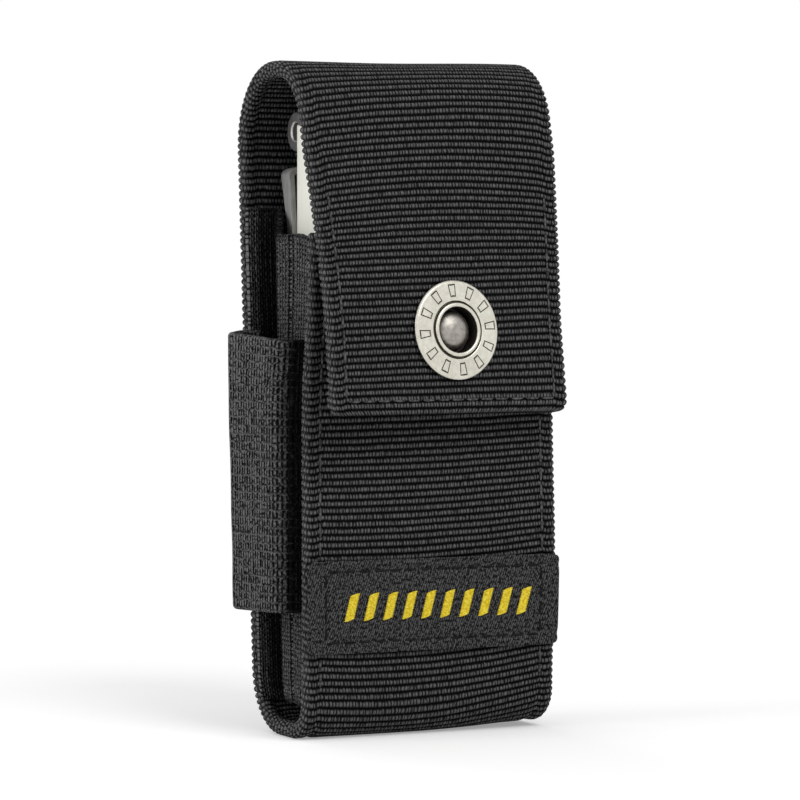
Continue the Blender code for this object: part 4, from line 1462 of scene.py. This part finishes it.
show_turned("snap_spring_ring", spring, SNAP, spring_finish, "flap_front", ["snap_spring"])

# %% Snap stud
STUD_PROFILE = [
    (0.0, -3.1, 0),
    (2.2, -3.1, 0.6),
    (2.2, -3.9, 0.3),
    (2.0, -4.6, 0.3),
    (5.0, -4.6, 0.25),
    (5.0, -5.1, 0.1),
    (1.7, -5.1, 0.05),
    (1.7, -3.7, 0.05),
    (0.0, -3.7, 0),
]
stud = turned(rounded_line(STUD_PROFILE), ring=False)
show_turned("snap_stud_turned", stud, SNAP, nickel_finish, "sheath", ["snap_stud"])

# %% [markdown]
# The folded tool is bent and stamped steel. Its two handles are channels: a bright flat web
# on the outside and a side plate at the front and the back, with round corners.
# A grid bent round the channel's section, with each column as tall as the outline there,
# gives the sheet, and modifiers give it its thickness and soft edges.

# %% Handles
TOOL_LOW = 6.0
TOOL_HIGH = 112.0
TOOL_FRONT = -6.4
TOOL_BACK = 8.8
TOOL_HALF = 18.0
STEEL = 1.2
STEEL_EDGE = 0.3
HANDLE_STATION = 0.3
HANDLE_BEND = 0.75
HANDLE_ROWS = 12
HANDLE_CORNERS = {"outside": (18.5, 3.5, 3.5), "inside": (0.2, 8.0, 3.0)}
HANDLE_SECTION = rounded_line(
    [
        (0.5, TOOL_FRONT + STEEL / 2, 0),
        (TOOL_HALF - STEEL / 2, TOOL_FRONT + STEEL / 2, HANDLE_BEND),
        (TOOL_HALF - STEEL / 2, TOOL_BACK - STEEL / 2, HANDLE_BEND),
        (0.5, TOOL_BACK - STEEL / 2, 0),
    ]
)


def handle_span(x):
    """The lowest and the highest point of a handle's outline at a distance from the middle."""
    outside, out_top, out_low = HANDLE_CORNERS["outside"]
    inside, in_top, in_low = HANDLE_CORNERS["inside"]
    low = TOOL_LOW + max(corner_drop(outside - x, out_low), corner_drop(x - inside, in_low))
    high = TOOL_HIGH - max(corner_drop(outside - x, out_top), corner_drop(x - inside, in_top))
    return low, high


def soften(piece, thick, edge, outer=0):
    """Gives a sheet its thickness and rounds its edges. outer is the slot of its outer face."""
    wall = piece.modifiers.new("Thickness", "SOLIDIFY")
    wall.thickness = thick * MM
    wall.offset = 0.0
    wall.use_even_offset = True
    wall.material_offset = outer
    wall.material_offset_rim = outer
    bevel = piece.modifiers.new("Soft edges", "BEVEL")
    bevel.width = edge * MM
    bevel.segments = 3
    bevel.limit_method = "ANGLE"
    bevel.angle_limit = math.radians(50)
    bevel.harden_normals = True


def make_handle(side):
    length, at = walk(HANDLE_SECTION)
    columns = round(length / HANDLE_STATION)
    bm = bmesh.new()
    bmesh.ops.create_grid(bm, x_segments=columns, y_segments=HANDLE_ROWS, size=0.5)
    for v in bm.verts:
        spot, _ = at(length * (v.co.x + 0.5))
        low, high = handle_span(spot.x)
        v.co = Vector((side * spot.x, spot.y, low + (high - low) * (v.co.y + 0.5))) * MM
    bmesh.ops.recalc_face_normals(bm, faces=bm.faces)
    return bm


for handle_side, handle_word in SIDES:
    handle = show(
        f"handle_{handle_word}_channel",
        make_handle(handle_side),
        bright_finish,
        "tool",
        [f"handle_{handle_word}"],
    )
    soften(handle, STEEL, STEEL_EDGE)

# %% Pins and the lanyard ear
PIN_PLACES = {"handle_pivot": (9.2, 102.0), "blade_pivot": (9.0, 13.0)}
PIN_HEAD = 4.2
PIN_RADIUS = 2.35
PIN_HEAD_HIGH = 0.45
PIN_GAP = 0.15
PIN_STEPS = 64
PIN_SHARP = 35
EAR_PLACE = Vector((-17.3, 9.0, 109.9))
EAR_RADIUS = 3.6
EAR_RIM = 1.95
EAR_DISH_RADIUS = 1.7
EAR_HALF_THICK = 0.5
EAR_DISH = 0.25


def depth_axis(x, z):
    """A frame whose Z axis points to the back."""
    return Matrix.Translation((x * MM, 0.0, z * MM)) @ Matrix.Rotation(-math.pi / 2, 4, "X")


def pin_profile():
    front, back = TOOL_FRONT - PIN_GAP, TOOL_BACK + PIN_GAP
    half = [
        (0.0, back + PIN_HEAD_HIGH, 0),
        (PIN_HEAD * 0.8, back + PIN_HEAD_HIGH, 0.5),
        (PIN_HEAD, back, 0.05),
        (PIN_RADIUS, back, 0),
    ]
    other = [(r, front + back - w, radius) for r, w, radius in reversed(half)]
    return rounded_line(half + other)


for pin_word, (pin_x, pin_z) in PIN_PLACES.items():
    for pin_side, side_word in SIDES:
        pin_name = f"{pin_word}_{side_word}"
        pin = turned(pin_profile(), PIN_STEPS, ring=False)
        axis = depth_axis(pin_side * pin_x, pin_z)
        show_turned(f"{pin_name}_pin", pin, axis, tool_finish, "tool", [pin_name], PIN_SHARP)

ear_half = [(0.0, EAR_DISH, 0), (EAR_DISH_RADIUS, EAR_DISH, 0), (EAR_RIM, EAR_HALF_THICK, 0)]
ear_half.append((EAR_RADIUS, EAR_HALF_THICK, 0.3))
ear_profile = rounded_line(ear_half + [(r, -h, bend) for r, h, bend in reversed(ear_half)])
ear_turn = Matrix.Translation(EAR_PLACE * MM) @ Matrix.Rotation(math.pi / 2, 4, "Y")
ear = turned(ear_profile, PIN_STEPS, ring=False)
# Painted light and shade: the slope into the dish takes the paler steel as a painted highlight, and the
# dish takes the dark finish as painted shade.
for ear_face in ear.faces:
    ear_r = math.hypot(*ear_face.calc_center_median().xy) / MM
    ear_face.material_index = (ear_r < EAR_RIM) + (ear_r < EAR_DISH_RADIUS)
ear_light_and_shade_finishes = [dull_finish, spring_finish, painted_shade_finish]
show_turned("lanyard_ear", ear, ear_turn, ear_light_and_shade_finishes, "tool", [], PIN_SHARP)

# %% [markdown]
# The pocket clip is a strip of spring steel screwed to the back of the left handle. Its tip flares away
# so that cloth can slide under it, and its left edge is bent towards the tool, which stiffens it.
# It is a bent sheet again, with rounded corners at the tip.

# %% Pocket clip
CLIP_MIDDLE_X = -14.9
CLIP_HALF_WIDTH = 2.7
CLIP_THICK = 1.0
CLIP_TIP_RADIUS = 1.6
CLIP_CORNERS = [(9.6, 24.0, 0), (9.6, 37.5, 6), (11.2, 46.0, 10), (11.2, 92.0, 14), (14.4, 103.0, 0)]
CLIP_LINE = rounded_line(CLIP_CORNERS)
CLIP_EDGE = 0.22
CLIP_COLUMNS = 8
FLANGE_COLUMNS = 3
CLIP_ROWS = 160


def clip_flange(z):
    """How deep the clip's bent edge is at a height: next to nothing where it is screwed down."""
    return 0.3 + 1.4 * smooth((z - 44.0) / 8.0) + 1.5 * smooth((z - 92.0) / 11.0)


def make_clip():
    length, at = walk(CLIP_LINE)
    columns = FLANGE_COLUMNS + CLIP_COLUMNS
    bm = bmesh.new()
    bmesh.ops.create_grid(bm, x_segments=columns, y_segments=CLIP_ROWS, size=0.5)
    for v in bm.verts:
        column = round((v.co.x + 0.5) * columns)
        along = length * (v.co.y + 0.5)
        spot, _ = at(along)
        half = CLIP_HALF_WIDTH - corner_drop(min(along, length - along), CLIP_TIP_RADIUS)
        over = max(0, column - FLANGE_COLUMNS) / CLIP_COLUMNS
        down = max(0, FLANGE_COLUMNS - column) / FLANGE_COLUMNS
        x = CLIP_MIDDLE_X + half * (2 * over - 1)
        v.co = Vector((x, spot.x - down * clip_flange(spot.y), spot.y)) * MM
    bmesh.ops.recalc_face_normals(bm, faces=bm.faces)
    return bm


# Painted shade: the clip's inner face takes the dark finish, where it lies in shade beside the handle.
clip_shade_and_steel_finishes = [painted_shade_finish, spring_finish]
pocket_clip = show(
    "pocket_clip_spring", make_clip(), clip_shade_and_steel_finishes, "tool", ["pocket_clip"]
)
soften(pocket_clip, CLIP_THICK, CLIP_EDGE, outer=1)

# %% [markdown]
# The jaws, blades, drivers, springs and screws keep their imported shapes, because those are right
# and mostly hidden. They only need their own steel in place of the plain packed colour.

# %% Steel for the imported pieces
PACKED_FINISHES = {"tool_steel": tool_finish, "spring_steel": spring_finish, "satin_nickel": nickel_finish}
slots = {row["node"]: row["material_slot"] for row in frame["record"]["subparts"]}
for node_name, node in frame["nodes"].items():
    finish = PACKED_FINISHES.get(slots.get(node_name))
    if finish and not node.hide_render:
        node.data.materials.clear()
        node.data.materials.append(finish)
        print("finished", node_name)
